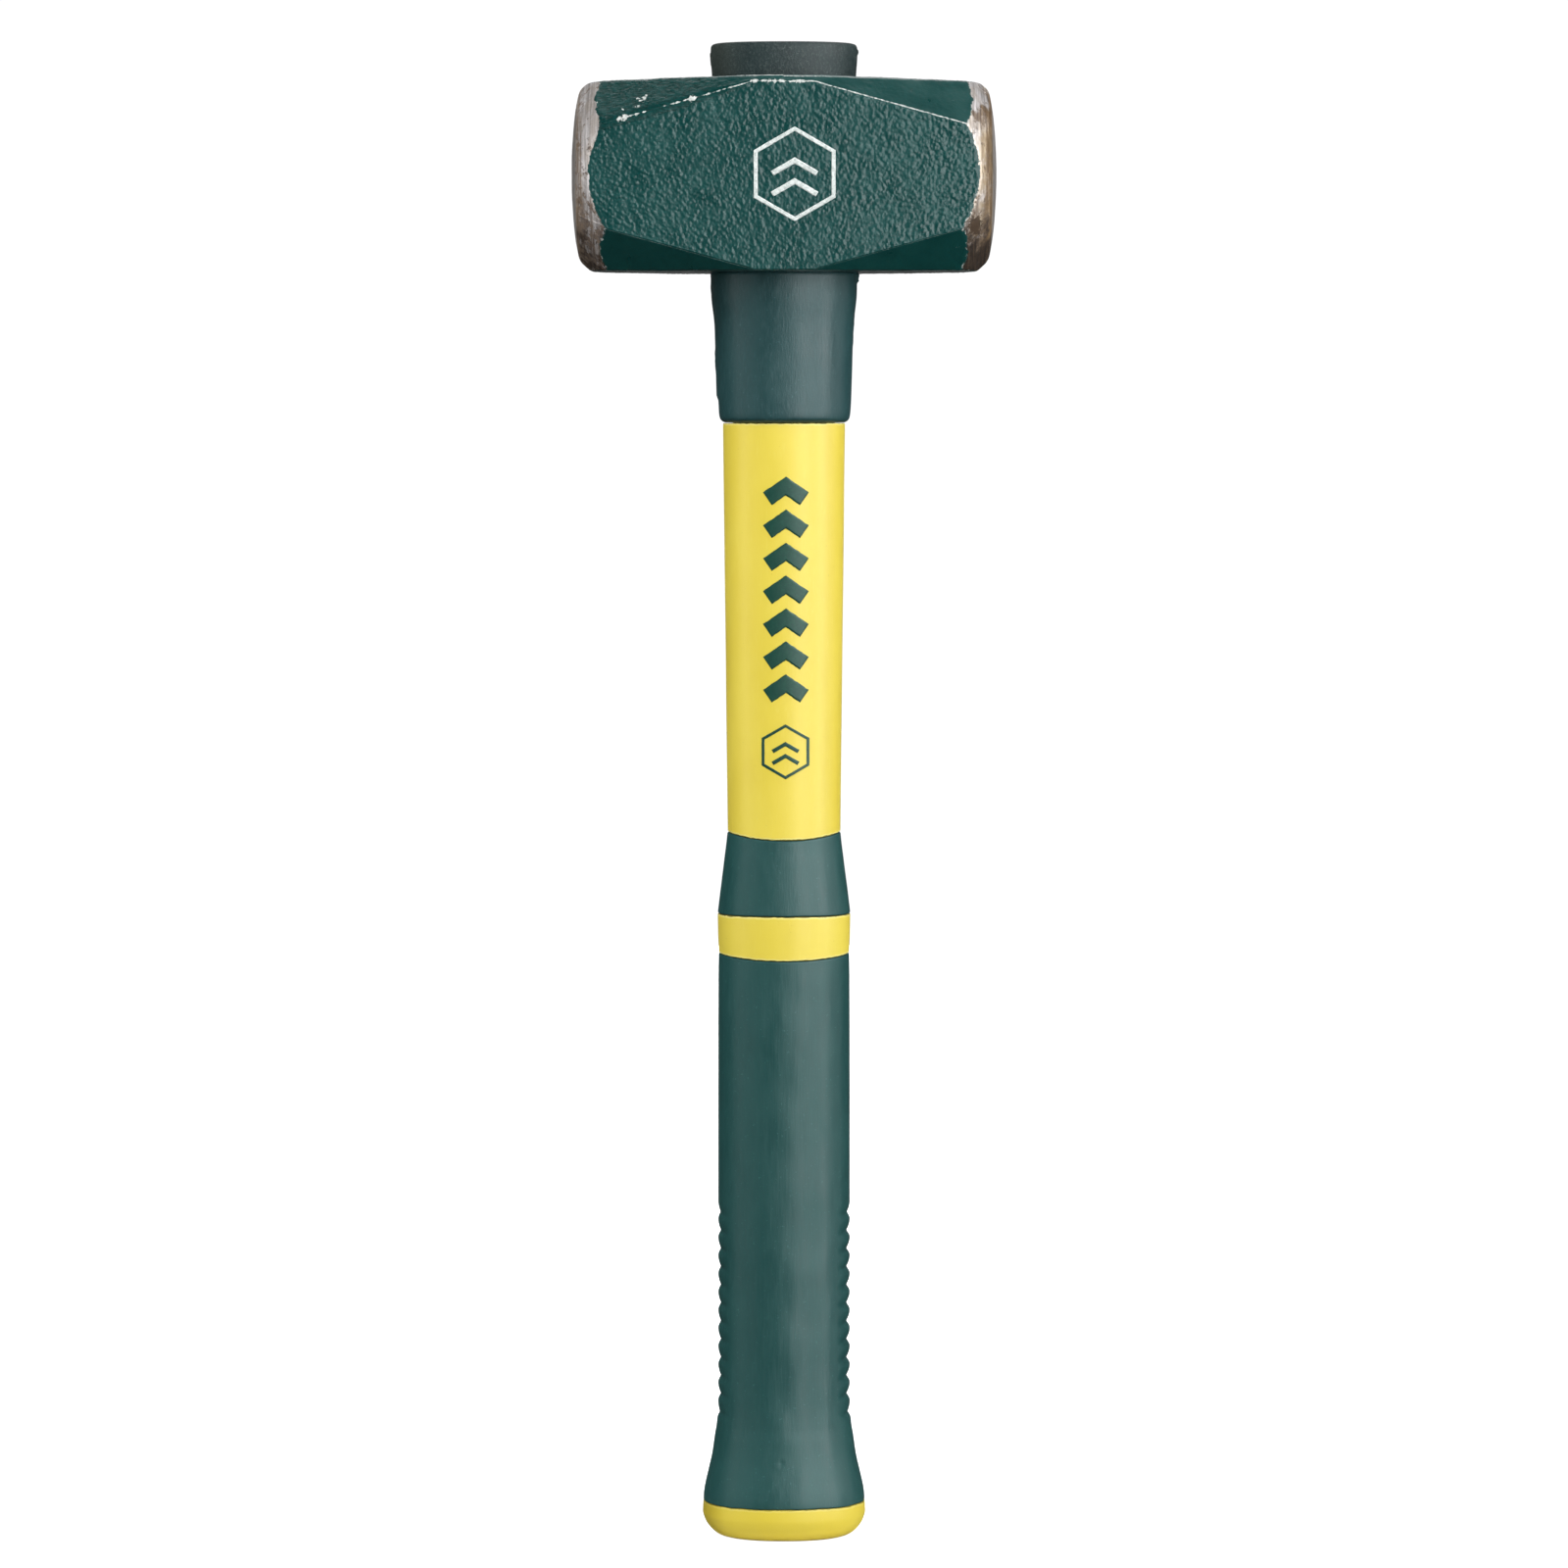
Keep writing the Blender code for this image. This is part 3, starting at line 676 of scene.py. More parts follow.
def cheek_relief(x, y, z):
    """Height in mm of the hammered enamel, about 0.25 mm from groove to crest."""
    lean = x + 0.30 * (z - HEAD_Z) * np.clip(-x / 30.0, -0.5, 1.0)
    lumps = pebbles(lean, y * 0.8, z * 0.86, 1.12, 5)
    cloud = noise(lean, y, z * 0.86, 1.05, 31, 2)
    broad = noise(x, y, z, 6.0, 47, 2)
    return 0.190 * (lumps - 0.6) + 0.070 * cloud + 0.035 * broad


def cheek_crown(x):
    """The cheeks bow out a trace between the two ends."""
    return 0.25 * (1.0 - np.clip(np.abs(x) / 50.0, 0.0, 1.0) ** 2)


# middle, half width and length of the bare spots along the upper left crease
BLOBS = (
    (-11.6, 0.22, 2.2), (-14.0, 0.26, 0.45), (-15.7, 0.16, 0.4), (-17.1, 0.26, 0.5), (-18.4, 0.14, 0.3), (-19.9, 0.36, 0.55),
    (-21.0, 0.15, 0.4), (-24.1, 0.95, 1.05), (-25.9, 0.30, 0.4), (-27.8, 0.42, 0.5), (-29.1, 0.32, 0.5), (-31.3, 0.24, 0.3),
    (-36.6, 0.36, 0.4), (-38.6, 0.50, 0.5), (-40.1, 0.42, 0.45), (-42.1, 0.95, 1.2), (-43.5, 0.45, 0.4),
)


def crease_wear(x, index, front):
    """Half width in mm of the rubbed line at each crease point."""
    wear = np.zeros_like(x)
    upper = (index == 1) | (index == 4)
    wear = np.where(upper & (x > 6.0), 0.20 + 0.05 * noise(x, x * 0, x * 0, 2.5, 97, 2), wear)
    left = sum(size * np.exp(-(((x - c) / wide) ** 4)) for c, size, wide in BLOBS)
    wear = np.where(upper & (x <= -8.0), left, wear)
    chips = 0.27 + 0.50 * noise(x, x * 0, x * 0, 0.8, 95, 3)
    wear = np.where(upper & (x > -9.0) & (x <= 8.0), np.maximum(wear, chips), wear)
    rim = (index == 2) | (index == 3)
    wear = np.where(rim, 0.05 + 0.2 * smooth(np.abs(x), 14.0, 8.0), wear)
    wear = np.where(index >= 5, 0.02, wear)
    wear = np.where(index == 0, 0.02, wear)
    return np.where(front, wear, wear * 0.8)


def build_head():
    stations = head_rows()
    rings, bare, crease, wear, rough = [], [], [], [], []
    for x, radius in stations:
        points, near, index, face = head_section(x)
        r = np.hypot(*points.T)
        k = 0.7
        share = np.clip(0.5 + 0.5 * (radius - r) / k, 0.0, 1.0)
        clipped = radius * (1 - share) + r * share - k * share * (1 - share)
        points = points * (clipped / r)[:, None]
        xs = np.full(len(points), x)
        rings.append(np.stack([xs, points[:, 0], points[:, 1] + HEAD_Z], -1))
        bare.append(np.clip(r - radius, -9.0, 6.0))
        crease.append(near)
        wear.append(crease_wear(xs, index, points[:, 0] < 0))
        rough.append(face)
    rings, bare, crease, wear, rough = map(np.array, (rings, bare, crease, wear, rough))
    along = np.gradient(rings, axis=0)
    around = np.roll(rings, -1, 1) - np.roll(rings, 1, 1)
    normal = np.cross(around, along)
    normal /= np.maximum(np.linalg.norm(normal, axis=-1, keepdims=True), 1e-9)
    middle = rings - (0.0, 0.0, HEAD_Z)
    normal *= np.sign((normal * middle).sum(-1, keepdims=True) + 1e-12)
    x, y, z = rings[..., 0], rings[..., 1], rings[..., 2]
    painted = 1.0 - smooth(bare, -0.9, 0.1)
    relief = cheek_relief(x, y, z) * rough * painted
    relief += 0.07 * noise(x, y, z, 16.0, 61, 2) * painted
    relief += cheek_crown(x) * (rough > 0.3) * painted
    # the creases are a little uneven, as forged edges are
    relief += 0.09 * noise(x, y, z, 4.0, 71, 2) * np.exp(-((crease / 1.2) ** 2)) * painted
    radial = np.hypot(y, z - HEAD_Z)
    turned = smooth(bare, -0.2, 0.6)
    relief += turned * (0.025 * noise(x * 2.2, radial * 2.2, radial * 0.0, 1.0, 81, 2) + 0.045 * noise(x, y, z, 3.0, 83, 3))
    # dings along the rim of each face
    ding = np.clip(noise(x, y, z, 4.5, 91, 2) - 0.25, 0.0, 1.0)
    relief -= turned * np.exp(-(((radial - RIM_R) / 1.0) ** 2)) * ding * 0.7
    rings = rings + normal * relief[..., None]
    verts, faces = skin(rings, False)
    pad = lambda v, e: np.concatenate([v.reshape(-1), [e, e]])
    head = piece(
        "head_forging",
        verts,
        faces,
        HEAD,
        {"bare": pad(bare, 6.0), "crease": pad(crease, 5.0), "wear": pad(wear, 0.0), "coarse": pad(rough, 0.2)},
    )
    # the waisted eye
    levels = ((-1.6, 15.6, 12.2), (-1.0, 15.6, 12.2), (-0.5, 14.85, 11.45), (0.0, 14.6, 11.2), (0.5, 15.0, 11.6), (1.0, 16.2, 12.7), (1.6, 16.2, 12.7))
    eye = np.concatenate([ovals(HEAD_Z + l * HALF_H_MID, a, b, power=2.1) for l, a, b in levels])[:, ::4]
    verts, faces = skin(eye, False)
    cutter = piece("eye_cutter", verts, faces, HEAD)
    modifier = head.modifiers.new("eye", "BOOLEAN")
    modifier.operation, modifier.object, modifier.solver = "DIFFERENCE", cutter, "EXACT"
    bpy.context.view_layer.update()
    graph = bpy.context.evaluated_depsgraph_get()
    cut = bpy.data.meshes.new_from_object(head.evaluated_get(graph), depsgraph=graph)
    head.modifiers.clear()
    head.data = cut
    bpy.data.objects.remove(cutter, do_unlink=True)
    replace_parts(head, "hammer_head")
    return head


build_head()

# ---- plug, collar --------------------------------------------------------------------
PLUG = ((390.5, 19.05, 15.25), (393.5, 19.25, 15.4), (397.0, 19.45, 15.6), (398.95, 19.4, 15.5), (399.6, 19.15, 15.2), (399.9, 18.75, 14.8), (400.0, 18.3, 14.3))
COLLAR = (
    (299.4, 15.9, 12.6), (299.75, 16.7, 13.4), (300.6, 17.4, 14.05), (302.4, 17.7, 14.3), (312.8, 18.1, 14.6),
    (322.0, 18.35, 14.8), (325.4, 18.5, 14.9), (333.7, 19.35, 15.5), (339.5, 19.45, 15.6),
)
SHAFT = ((188.0, 15.03, 12.0), (299.4, 16.25, 12.85))
CUFF = ((168.0, 17.75, 14.1), (173.6, 17.08, 13.6), (178.4, 16.47, 13.1), (183.1, 15.88, 12.65), (186.8, 15.4, 12.25), (189.9, 15.05, 12.0))
RING = ((155.9, 17.45, 13.95), (157.3, 17.45, 13.95), (162.5, 17.65, 14.1), (168.0, 17.75, 14.15))
GRIP = (
    (157.3, 17.48, 13.9), (149.9, 17.57, 13.95), (94.2, 17.64, 14.0), (60.0, 17.66, 14.02), (36.0, 17.72, 14.05), (30.3, 18.05, 14.3),
    (26.8, 18.6, 14.75), (22.0, 19.28, 15.3), (17.2, 20.35, 16.15), (12.4, 21.4, 17.0), (10.8, 21.6, 17.2), (9.1, 21.7, 17.3),
)
CAP = ((9.1, 21.75, 17.35), (6.0, 21.87, 17.5), (4.2, 21.4, 17.2), (2.6, 20.5, 16.5), (1.2, 19.2, 15.4), (0.35, 17.95, 14.3), (0.0, 16.9, 13.3))
CORE = (10.3, 7.8, 2.3)
NECK = (13.3, 10.2)


def side_line(rings, height, wide=0.36):
    """The mould's parting line down both narrow sides."""
    return height * np.exp(-((rings[..., 1] / wide) ** 2))


def flash(rings, way, low, high, height, wide, seed):
    """Ragged flash on the side way (+1 or -1), between two heights."""
    x, y, z = rings[..., 0], rings[..., 1], rings[..., 2]
    there = smooth(z, low - 0.25, low + 0.35) * (1.0 - smooth(z, high - 0.35, high + 0.25))
    ragged = 0.7 + 0.6 * noise(x * 0, y * 0.3, z, 1.1, seed, 2)
    return np.where(x * way > 0, height * there * ragged * np.exp(-((y / wide) ** 2)), 0.0)


def stack(*parts):
    return np.concatenate(parts)


def build_plug():
    z = np.r_[390.62, 390.72, 390.95, np.arange(391.4, 398.2, 0.4), np.arange(398.4, 399.95, 0.12), 400.0]
    a, b = at(PLUG, z)

    for k, cut in enumerate((0.35, 0.12, 0.02)):
        a[k] -= cut
        b[k] -= cut
    rings = ovals(z, a, b)
    x, y, zz = rings[..., 0], rings[..., 1], rings[..., 2]
    move = 0.05 * noise(x, y, zz, 6.0, 201, 2) + side_line(rings, 0.08)
    move += flash(rings, -1, 394.2, 397.6, 0.22, 0.9, 203) + flash(rings, 1, 397.3, 398.6, 0.42, 0.9, 205)
    rings = push(rings, a, b, move)
    shares = (0.97, 0.93, 0.86, 0.76, 0.64, 0.5, 0.36, 0.22, 0.13, 0.12, 0.085, 0.08, 0.04)
    heights = (400.0, 399.98, 399.93, 399.86, 399.78, 399.7, 399.64, 399.6, 399.58, 399.8, 399.82, 399.55, 399.53)
    lid = shrink(ovals(400.0, 18.3, 14.3)[0], shares, heights, 0, 0)
    hole = stack(
        shrink(ovals(0.0, *CORE[:2], power=CORE[2])[0], (0.1, 0.5, 0.9), (395.7,) * 3, 0, 0),
        ovals((395.7, 395.0, 391.2, 390.62), *CORE[:2], power=CORE[2]),
    )
    verts, faces = skin(stack(hole, rings, lid), False)
    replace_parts(piece("plug_moulding", verts, faces, PLUG_SLATE), "top_plug")


def build_collar():
    z = np.r_[299.46, 299.52, 299.62, np.arange(299.8, 302.6, 0.2), np.arange(303.2, 333.0, 0.7), np.arange(333.3, 338.9, 0.35), 339.1, 339.25, 339.32]
    a, b = at(COLLAR, z)
    for k, cut in ((-1, 0.3), (-2, 0.12), (-3, 0.03)):
        a[k] -= cut
        b[k] -= cut
    rings = ovals(z, a, b)
    x, y, zz = rings[..., 0], rings[..., 1], rings[..., 2]
    move = 0.06 * noise(x, y, zz * 0.6, 9.0, 211, 2) + 0.025 * noise(x, y, zz * 0.5, 2.5, 213, 2) + side_line(rings, 0.09)
    move += flash(rings, -1, 333.9, 339.4, 0.12, 1.3, 215) + flash(rings, 1, 336.8, 339.4, 0.6, 1.1, 217)
    # the left side steps in a little towards the bottom
    move -= np.where(x < 0, 0.42 * (1 - smooth(zz, 305.4, 306.6)) * np.exp(-((y / 5.0) ** 2)), 0.0)
    move += flash(rings, -1, 313.0, 319.0, 0.16, 0.8, 219) + flash(rings, 1, 320.0, 328.0, 0.16, 0.8, 221)
    rings = push(rings, a, b, move)
    inner = ovals((339.32, 320.0, 301.0, 299.46), 13.9, 10.9)
    verts, faces = skin(stack(rings, inner), True)
    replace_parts(piece("collar_moulding", verts, faces, SLATE), "head_collar")


# ---- jacket, cuff, band, grip, cap -----------------------------------------------------
DIP_CUFF, DIP_RING = 1.7, 1.25
Z_COLLAR, Z_CUFF, Z_RING_TOP, Z_RING, Z_CAP = 299.4, 189.9, 168.0, 157.3, 9.1


def waver(amount, seed, scale=5.0):
    """A small ragged height along a joint, the same for both its pieces."""
    return amount * noise(UX * 17.0, UY * 14.0, UX * 0, scale, seed, 3)


CAP_WAVER = waver(0.22, 301, 3.5)
RING_WAVER = waver(0.10, 303)
RING_TOP_WAVER = waver(0.08, 305)
CUFF_WAVER = waver(0.08, 307)


def fade(rings, z_joint, shift, reach=1.5):
    """Moves rows near a joint by its waver, less and less away from it."""
    weight = np.clip(1.0 - np.abs(rings[..., 2].mean(1, keepdims=True) - z_joint) / reach, 0.0, 1.0)
    rings = rings.copy()
    rings[..., 2] += weight * shift
    return rings


def build_jacket():
    low = Z_CUFF + 0.06
    z = np.r_[low, low + 0.06, low + 0.16, low + 0.32, low + 0.6, low + 1.0, low + 1.6, np.arange(192.2, 297.6, 1.55), 298.2, 298.7, 299.0, 299.2, 299.3]
    a, b = at(SHAFT, z)
    dip = DIP_CUFF * (1.0 - smooth(z, low + 0.2, 205.0))
    for k, cut in ((0, 0.28), (1, 0.13), (2, 0.04), (-1, 0.22), (-2, 0.06)):
        a[k] -= cut
        b[k] -= cut
    rings = ovals(z, a, b, dip)
    x, y, zz = rings[..., 0], rings[..., 1], rings[..., 2]
    move = 0.035 * noise(x, y, zz * 0.5, 12.0, 231, 2) + side_line(rings, 0.06)
    rim = np.minimum(z - low, 299.35 - z)[:, None] + 0 * x
    rings = fade(push(rings, a, b, move), low, CUFF_WAVER)
    inner_top = ovals((299.3, 319.0, 339.1), 13.6, 10.6)
    core = ovals((339.1, 250.0, 150.0, 60.0, 4.7), *CORE[:2], power=CORE[2])
    neck = stack(ovals((4.7, 60.0, 120.0), 13.0, 9.9), ovals(Z_CUFF - 2.0, 13.0, 9.9, DIP_CUFF))
    everything = stack(rings, inner_top, core, neck)
    rims = np.concatenate([rim, np.full((len(everything) - len(rim), COUNT), 0.1)])
    verts, faces = skin(everything, True)
    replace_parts(piece("jacket_moulding", verts, faces, YELLOW, {"rim": rims}), "shaft_jacket")


def build_cuff():
    top = Z_CUFF - 0.06
    z = np.r_[168.07, 168.13, 168.25, 168.45, 168.8, np.arange(169.3, 188.6, 0.55), 188.9, 189.2, 189.45, 189.62, 189.75, top]
    a, b = at(CUFF, z)
    for k, cut in ((0, 0.28), (1, 0.13), (2, 0.04), (-1, 0.30), (-2, 0.14), (-3, 0.05)):
        a[k] -= cut
        b[k] -= cut
    dip = DIP_CUFF * smooth(z, 180.0, 189.4)
    rings = ovals(z, a, b, dip)
    x, y, zz = rings[..., 0], rings[..., 1], rings[..., 2]
    move = 0.05 * noise(x, y, zz * 0.7, 8.0, 241, 2) + 0.02 * noise(x, y, zz * 0.3, 2.0, 243, 2) + side_line(rings, 0.08)
    rings = fade(fade(push(rings, a, b, move), top, CUFF_WAVER), 168.0, RING_TOP_WAVER)
    inner = stack(ovals(top - 1.5, *NECK, DIP_CUFF), ovals((180.0, 168.07), *NECK))
    verts, faces = skin(stack(rings, inner), True)
    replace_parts(piece("cuff_moulding", verts, faces, GRIP_GREEN), "grip_cuff")


def build_band():
    low, top = Z_RING + 0.06, Z_RING_TOP - 0.07
    z = np.r_[low, low + 0.06, low + 0.16, low + 0.32, low + 0.6, np.arange(158.5, 166.9, 0.5), top - 0.6, top - 0.32, top - 0.16, top - 0.06, top]
    a, b = at(RING, z)
    for k, cut in ((0, 0.30), (1, 0.14), (2, 0.04), (-1, 0.30), (-2, 0.14), (-3, 0.04)):
        a[k] -= cut
        b[k] -= cut
    dip = DIP_RING * (1.0 - smooth(z, 157.6, 165.0))
    rings = ovals(z, a, b, dip)
    x, y, zz = rings[..., 0], rings[..., 1], rings[..., 2]
    move = 0.04 * noise(x, y, zz, 8.0, 251, 2) + side_line(rings, 0.06)
    rim = np.minimum(z - low, top - z)[:, None] + 0 * x
    rings = fade(fade(push(rings, a, b, move), low, RING_WAVER), top, RING_TOP_WAVER)
    inner = stack(ovals(top, *NECK), ovals(low, *NECK, DIP_RING))
    rims = np.concatenate([rim, np.full((2, COUNT), 0.1)])
    verts, faces = skin(stack(rings, inner), True)
    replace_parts(piece("band_moulding", verts, faces, YELLOW, {"rim": rims}), "grip_ring")


def notches(z):
    """Depth, 0 to 1, of the finger notches at height z: rounded teeth with narrow valleys between."""
    u = (87.2 - z) / 4.925
    f = u - np.floor(u)
    peak = 0.375
    depth = np.where(f < peak, (1.0 - f / peak) ** 1.7, (np.clip(f - peak, 0.0, 1.0) / (1.0 - peak)) ** 1.9)
    depth = np.where(u < -0.64, 0.0, depth)
    last = 11.0
    depth = np.where(u > last + peak, 0.0, depth)
    ends = np.where(u < 0.5, 0.85, 1.0) * np.where(u > last - 0.6, 0.75, 1.0)
    return depth * ends


def build_grip():
    low, top = Z_CAP + 0.05, Z_RING - 0.06
    z = np.r_[
        low, low + 0.06, low + 0.16, low + 0.35, low + 0.7, np.arange(10.4, 30.0, 0.6), np.arange(30.0, 91.5, 0.38),
        np.arange(91.8, 155.6, 0.85), top - 0.9, top - 0.55, top - 0.32, top - 0.16, top - 0.06, top,
    ]
    a, b = at(GRIP, z)
    for k, cut in ((0, 0.26), (1, 0.12), (2, 0.03), (-1, 0.30), (-2, 0.14), (-3, 0.04)):
        a[k] -= cut
        b[k] -= cut
    dip = DIP_RING * smooth(z, 148.0, 156.9)
    rings = ovals(z, a, b, dip)
    x, y, zz = rings[..., 0], rings[..., 1], rings[..., 2]
    share = np.abs(UX)[None, :]
    side = smooth(share, 0.80, 1.0)
    move = -np.where(x < 0, 0.74, 0.96) * notches(z)[:, None] * side
    front = 1.0 - smooth(share, 0.55, 0.9)
    sink = noise(x * 1.3, np.sign(y) * 40.0, zz * 0.62, 8.5, 261, 2)
    waves = np.sin((zz - 6.0) * (2 * math.pi / 21.0) + 1.3 * noise(x * 0, np.sign(y), zz, 30.0, 263, 1))
    move += front * (0.17 * sink + 0.09 * waves * np.exp(-(((x + 2.0) / 6.0) ** 2)))
    move += 0.02 * noise(x, y, zz * 0.15, 1.6, 265, 2) + side_line(rings, 0.07)
    spot = np.hypot(x + 0.8, zz - 21.3)
    move += np.where(y < 0, 0.10 * np.exp(-((spot / 1.7) ** 2)) - 0.24 * np.exp(-((spot / 0.75) ** 2)), 0.0)
    rings = fade(fade(push(rings, a, b, move), top, RING_WAVER), Z_CAP, CAP_WAVER)
    inner = stack(ovals(top, *NECK, DIP_RING), ovals((120.0, 60.0, low), *NECK))
    verts, faces = skin(stack(rings, inner), True)
    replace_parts(piece("grip_moulding", verts, faces, GRIP_GREEN), "grip_sleeve")


def build_cap():
    top = Z_CAP - 0.05
    z = np.r_[top, top - 0.06, top - 0.16, top - 0.35, np.arange(8.2, 4.4, -0.45), np.arange(4.2, 0.4, -0.25), 0.3, 0.2, 0.12, 0.05, 0.0]
    a, b = at(CAP, z)
    for k, cut in ((0, 0.28), (1, 0.12), (2, 0.03)):
        a[k] -= cut
        b[k] -= cut
    rings = ovals(z, a, b)
    x, y, zz = rings[..., 0], rings[..., 1], rings[..., 2]
    move = (0.05 * noise(x, y, zz, 9.0, 271, 2) + side_line(rings, 0.07)) * smooth(z, 0.0, 1.0)[:, None]
    rim = np.clip(top - z, 0, 9)[:, None] + 0 * x
    rings = fade(push(rings, a, b, move), top, CAP_WAVER)
    base = ovals(0.0, 16.9, 13.3)[0]
    shares = (0.96, 0.9, 0.84, 0.80, 0.78, 0.76, 0.6, 0.4, 0.22, 0.14, 0.13, 0.09, 0.085, 0.04)
    heights = (0.0, 0.0, 0.0, 0.02, 0.18, 0.34, 0.38, 0.4, 0.4, 0.4, 0.2, 0.2, 0.42, 0.44)
    floor = shrink(base, shares, heights, 0, 0)
    cup = stack(
        shrink(ovals(0.0, *NECK)[0], (0.1, 0.5, 0.9), (4.4,) * 3, 0, 0),
        ovals((4.4, 5.0, 7.0, top), *NECK),
    )
    everything = stack(cup, rings, floor)
    rims = np.concatenate([np.full((len(cup), COUNT), 0.1), rim, np.full((len(floor), COUNT), 5.0)])
    verts, faces = skin(everything, False)
    rims = np.concatenate([rims.reshape(-1), [5.0, 5.0]])
    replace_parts(piece("cap_moulding", verts, faces, YELLOW, {"rim": rims}), "butt_cap")


build_plug()
build_collar()
build_jacket()
build_cuff()
build_band()
build_grip()
build_cap()


# ---- plain printed marks: a hexagon badge and a row of chevrons ------------------------
def ribbon(path, width, closed, place, cross=4, lift=0.06, sink=0.12, step=0.35):
    """A thin closed strip of ink along a path in the print's own plane."""
    path = np.asarray(path, float)
    if closed:
        path = np.vstack([path, path[:1]])
    seg = np.hypot(*np.diff(path, axis=0).T)
    miter, dense, half = [], [], []
    count = len(path)
    for k in range(count):
        before = path[k] - path[k - 1] if k else (path[0] - path[-2] if closed else path[1] - path[0])
        after = path[k + 1] - path[k] if k < count - 1 else (path[1] - path[0] if closed else path[k] - path[k - 1])
        before, after = before / np.hypot(*before), after / np.hypot(*after)
        n = np.array((-before[1] - after[1], before[0] + after[0]))
        n /= np.hypot(*n)
        miter.append(n / max(0.35, n @ np.array((-after[1], after[0]))))
    for k in range(count - 1):
        m = max(1, int(round(seg[k] / step)))
        for q in range(m):
            dense.append(path[k] + (path[k + 1] - path[k]) * q / m)
            half.append(miter[k] + (miter[k + 1] - miter[k]) * q / m)
    if not closed:
        dense.append(path[-1])
        half.append(miter[-1])
    dense, half = np.array(dense), np.array(half)
    across = np.linspace(-0.5, 0.5, cross + 1)
    ragged = 1.0 + 0.05 * noise(dense[:, 0], dense[:, 1], dense[:, 0] * 0, 0.8, 401, 2)
    flat = dense[:, None] + half[:, None] * (across * width)[None, :, None] * ragged[:, None, None]
    m, c = flat.shape[:2]
    upper = place(flat[..., 0], flat[..., 1], lift)
    lower = place(flat[..., 0], flat[..., 1], -sink)
    # each cross-section runs over the top, then back underneath
    loop = np.concatenate([upper, lower[:, ::-1]], 1)
    verts = loop.reshape(-1, 3)
    n = 2 * c
    i = np.arange(m if closed else m - 1)[:, None]
    j = np.arange(n)[None, :]
    i2, j2 = (i + 1) % m, (j + 1) % n
    faces = [np.stack([i * n + j, i * n + j2, i2 * n + j2, i2 * n + j], -1).reshape(-1, 4)]
    if not closed:
        k = np.arange(c - 1)
        first = np.stack([k, n - 1 - k, n - 2 - k, k + 1], -1)
        faces.append(first)
        faces.append(first[:, ::-1] + (m - 1) * n)
    return verts, faces


def marks(name, strips, material):
    verts, faces, start = [], [], 0
    for v, f in strips:
        if volume(v, f) < 0:
            f = [q[:, ::-1] for q in f]
        verts.append(v)
        faces += [q + start for q in f]
        start += len(v)
    return piece(name, np.vstack(verts), faces, material)


def on_cheek(u, v, height):
    y = np.full_like(u, -HALF_D)
    relief = cheek_relief(u, y, v) + 0.07 * noise(u, y, v, 16.0, 61, 2) + cheek_crown(u)
    return np.stack([u, y - relief - height, v], -1)


def on_shaft(u, v, height):
    a, b = at(SHAFT, v)
    q = np.abs(u / a)
    w = (1.0 - q**BODY_POWER) ** (1.0 / BODY_POWER)
    gx, gy = np.sign(u) * q ** (BODY_POWER - 1) / a, -(w ** (BODY_POWER - 1)) / b
    size = np.hypot(gx, gy)
    move = 0.035 * noise(u, -b * w, v * 0.5, 12.0, 231, 2) + height
    return np.stack([u + gx / size * move, -b * w + gy / size * move, v], -1)


def badge(cx, cz, size, stroke, place):
    """A hexagon with two chevrons in it."""
    corner = [(cx + size * math.sin(math.radians(60 * k)), cz + size * math.cos(math.radians(60 * k))) for k in range(6)]
    strips = [ribbon(corner, stroke, True, place)]
    for drop in (0.30, -0.16):
        half, rise = size * 0.50, size * 0.29
        path = [(cx - half, cz + drop * size - rise), (cx, cz + drop * size), (cx + half, cz + drop * size - rise)]
        strips.append(ribbon(path, stroke * 1.35, False, place))
    return strips


marks("head_badge", badge(2.8, 364.7, 11.8, 1.05, on_cheek), WHITE_INK)
chevrons = []
for k in range(7):
    base = 226.8 + 8.75 * k
    chevrons.append(ribbon([(0.5 - 4.9, base), (0.5, base + 3.4), (0.5 + 4.9, base)], 4.1, False, on_shaft, cross=8))
marks("shaft_chevrons", chevrons, GREEN_INK)
marks("shaft_badge", badge(0.4, 212.0, 6.9, 0.75, on_shaft), GREEN_INK)

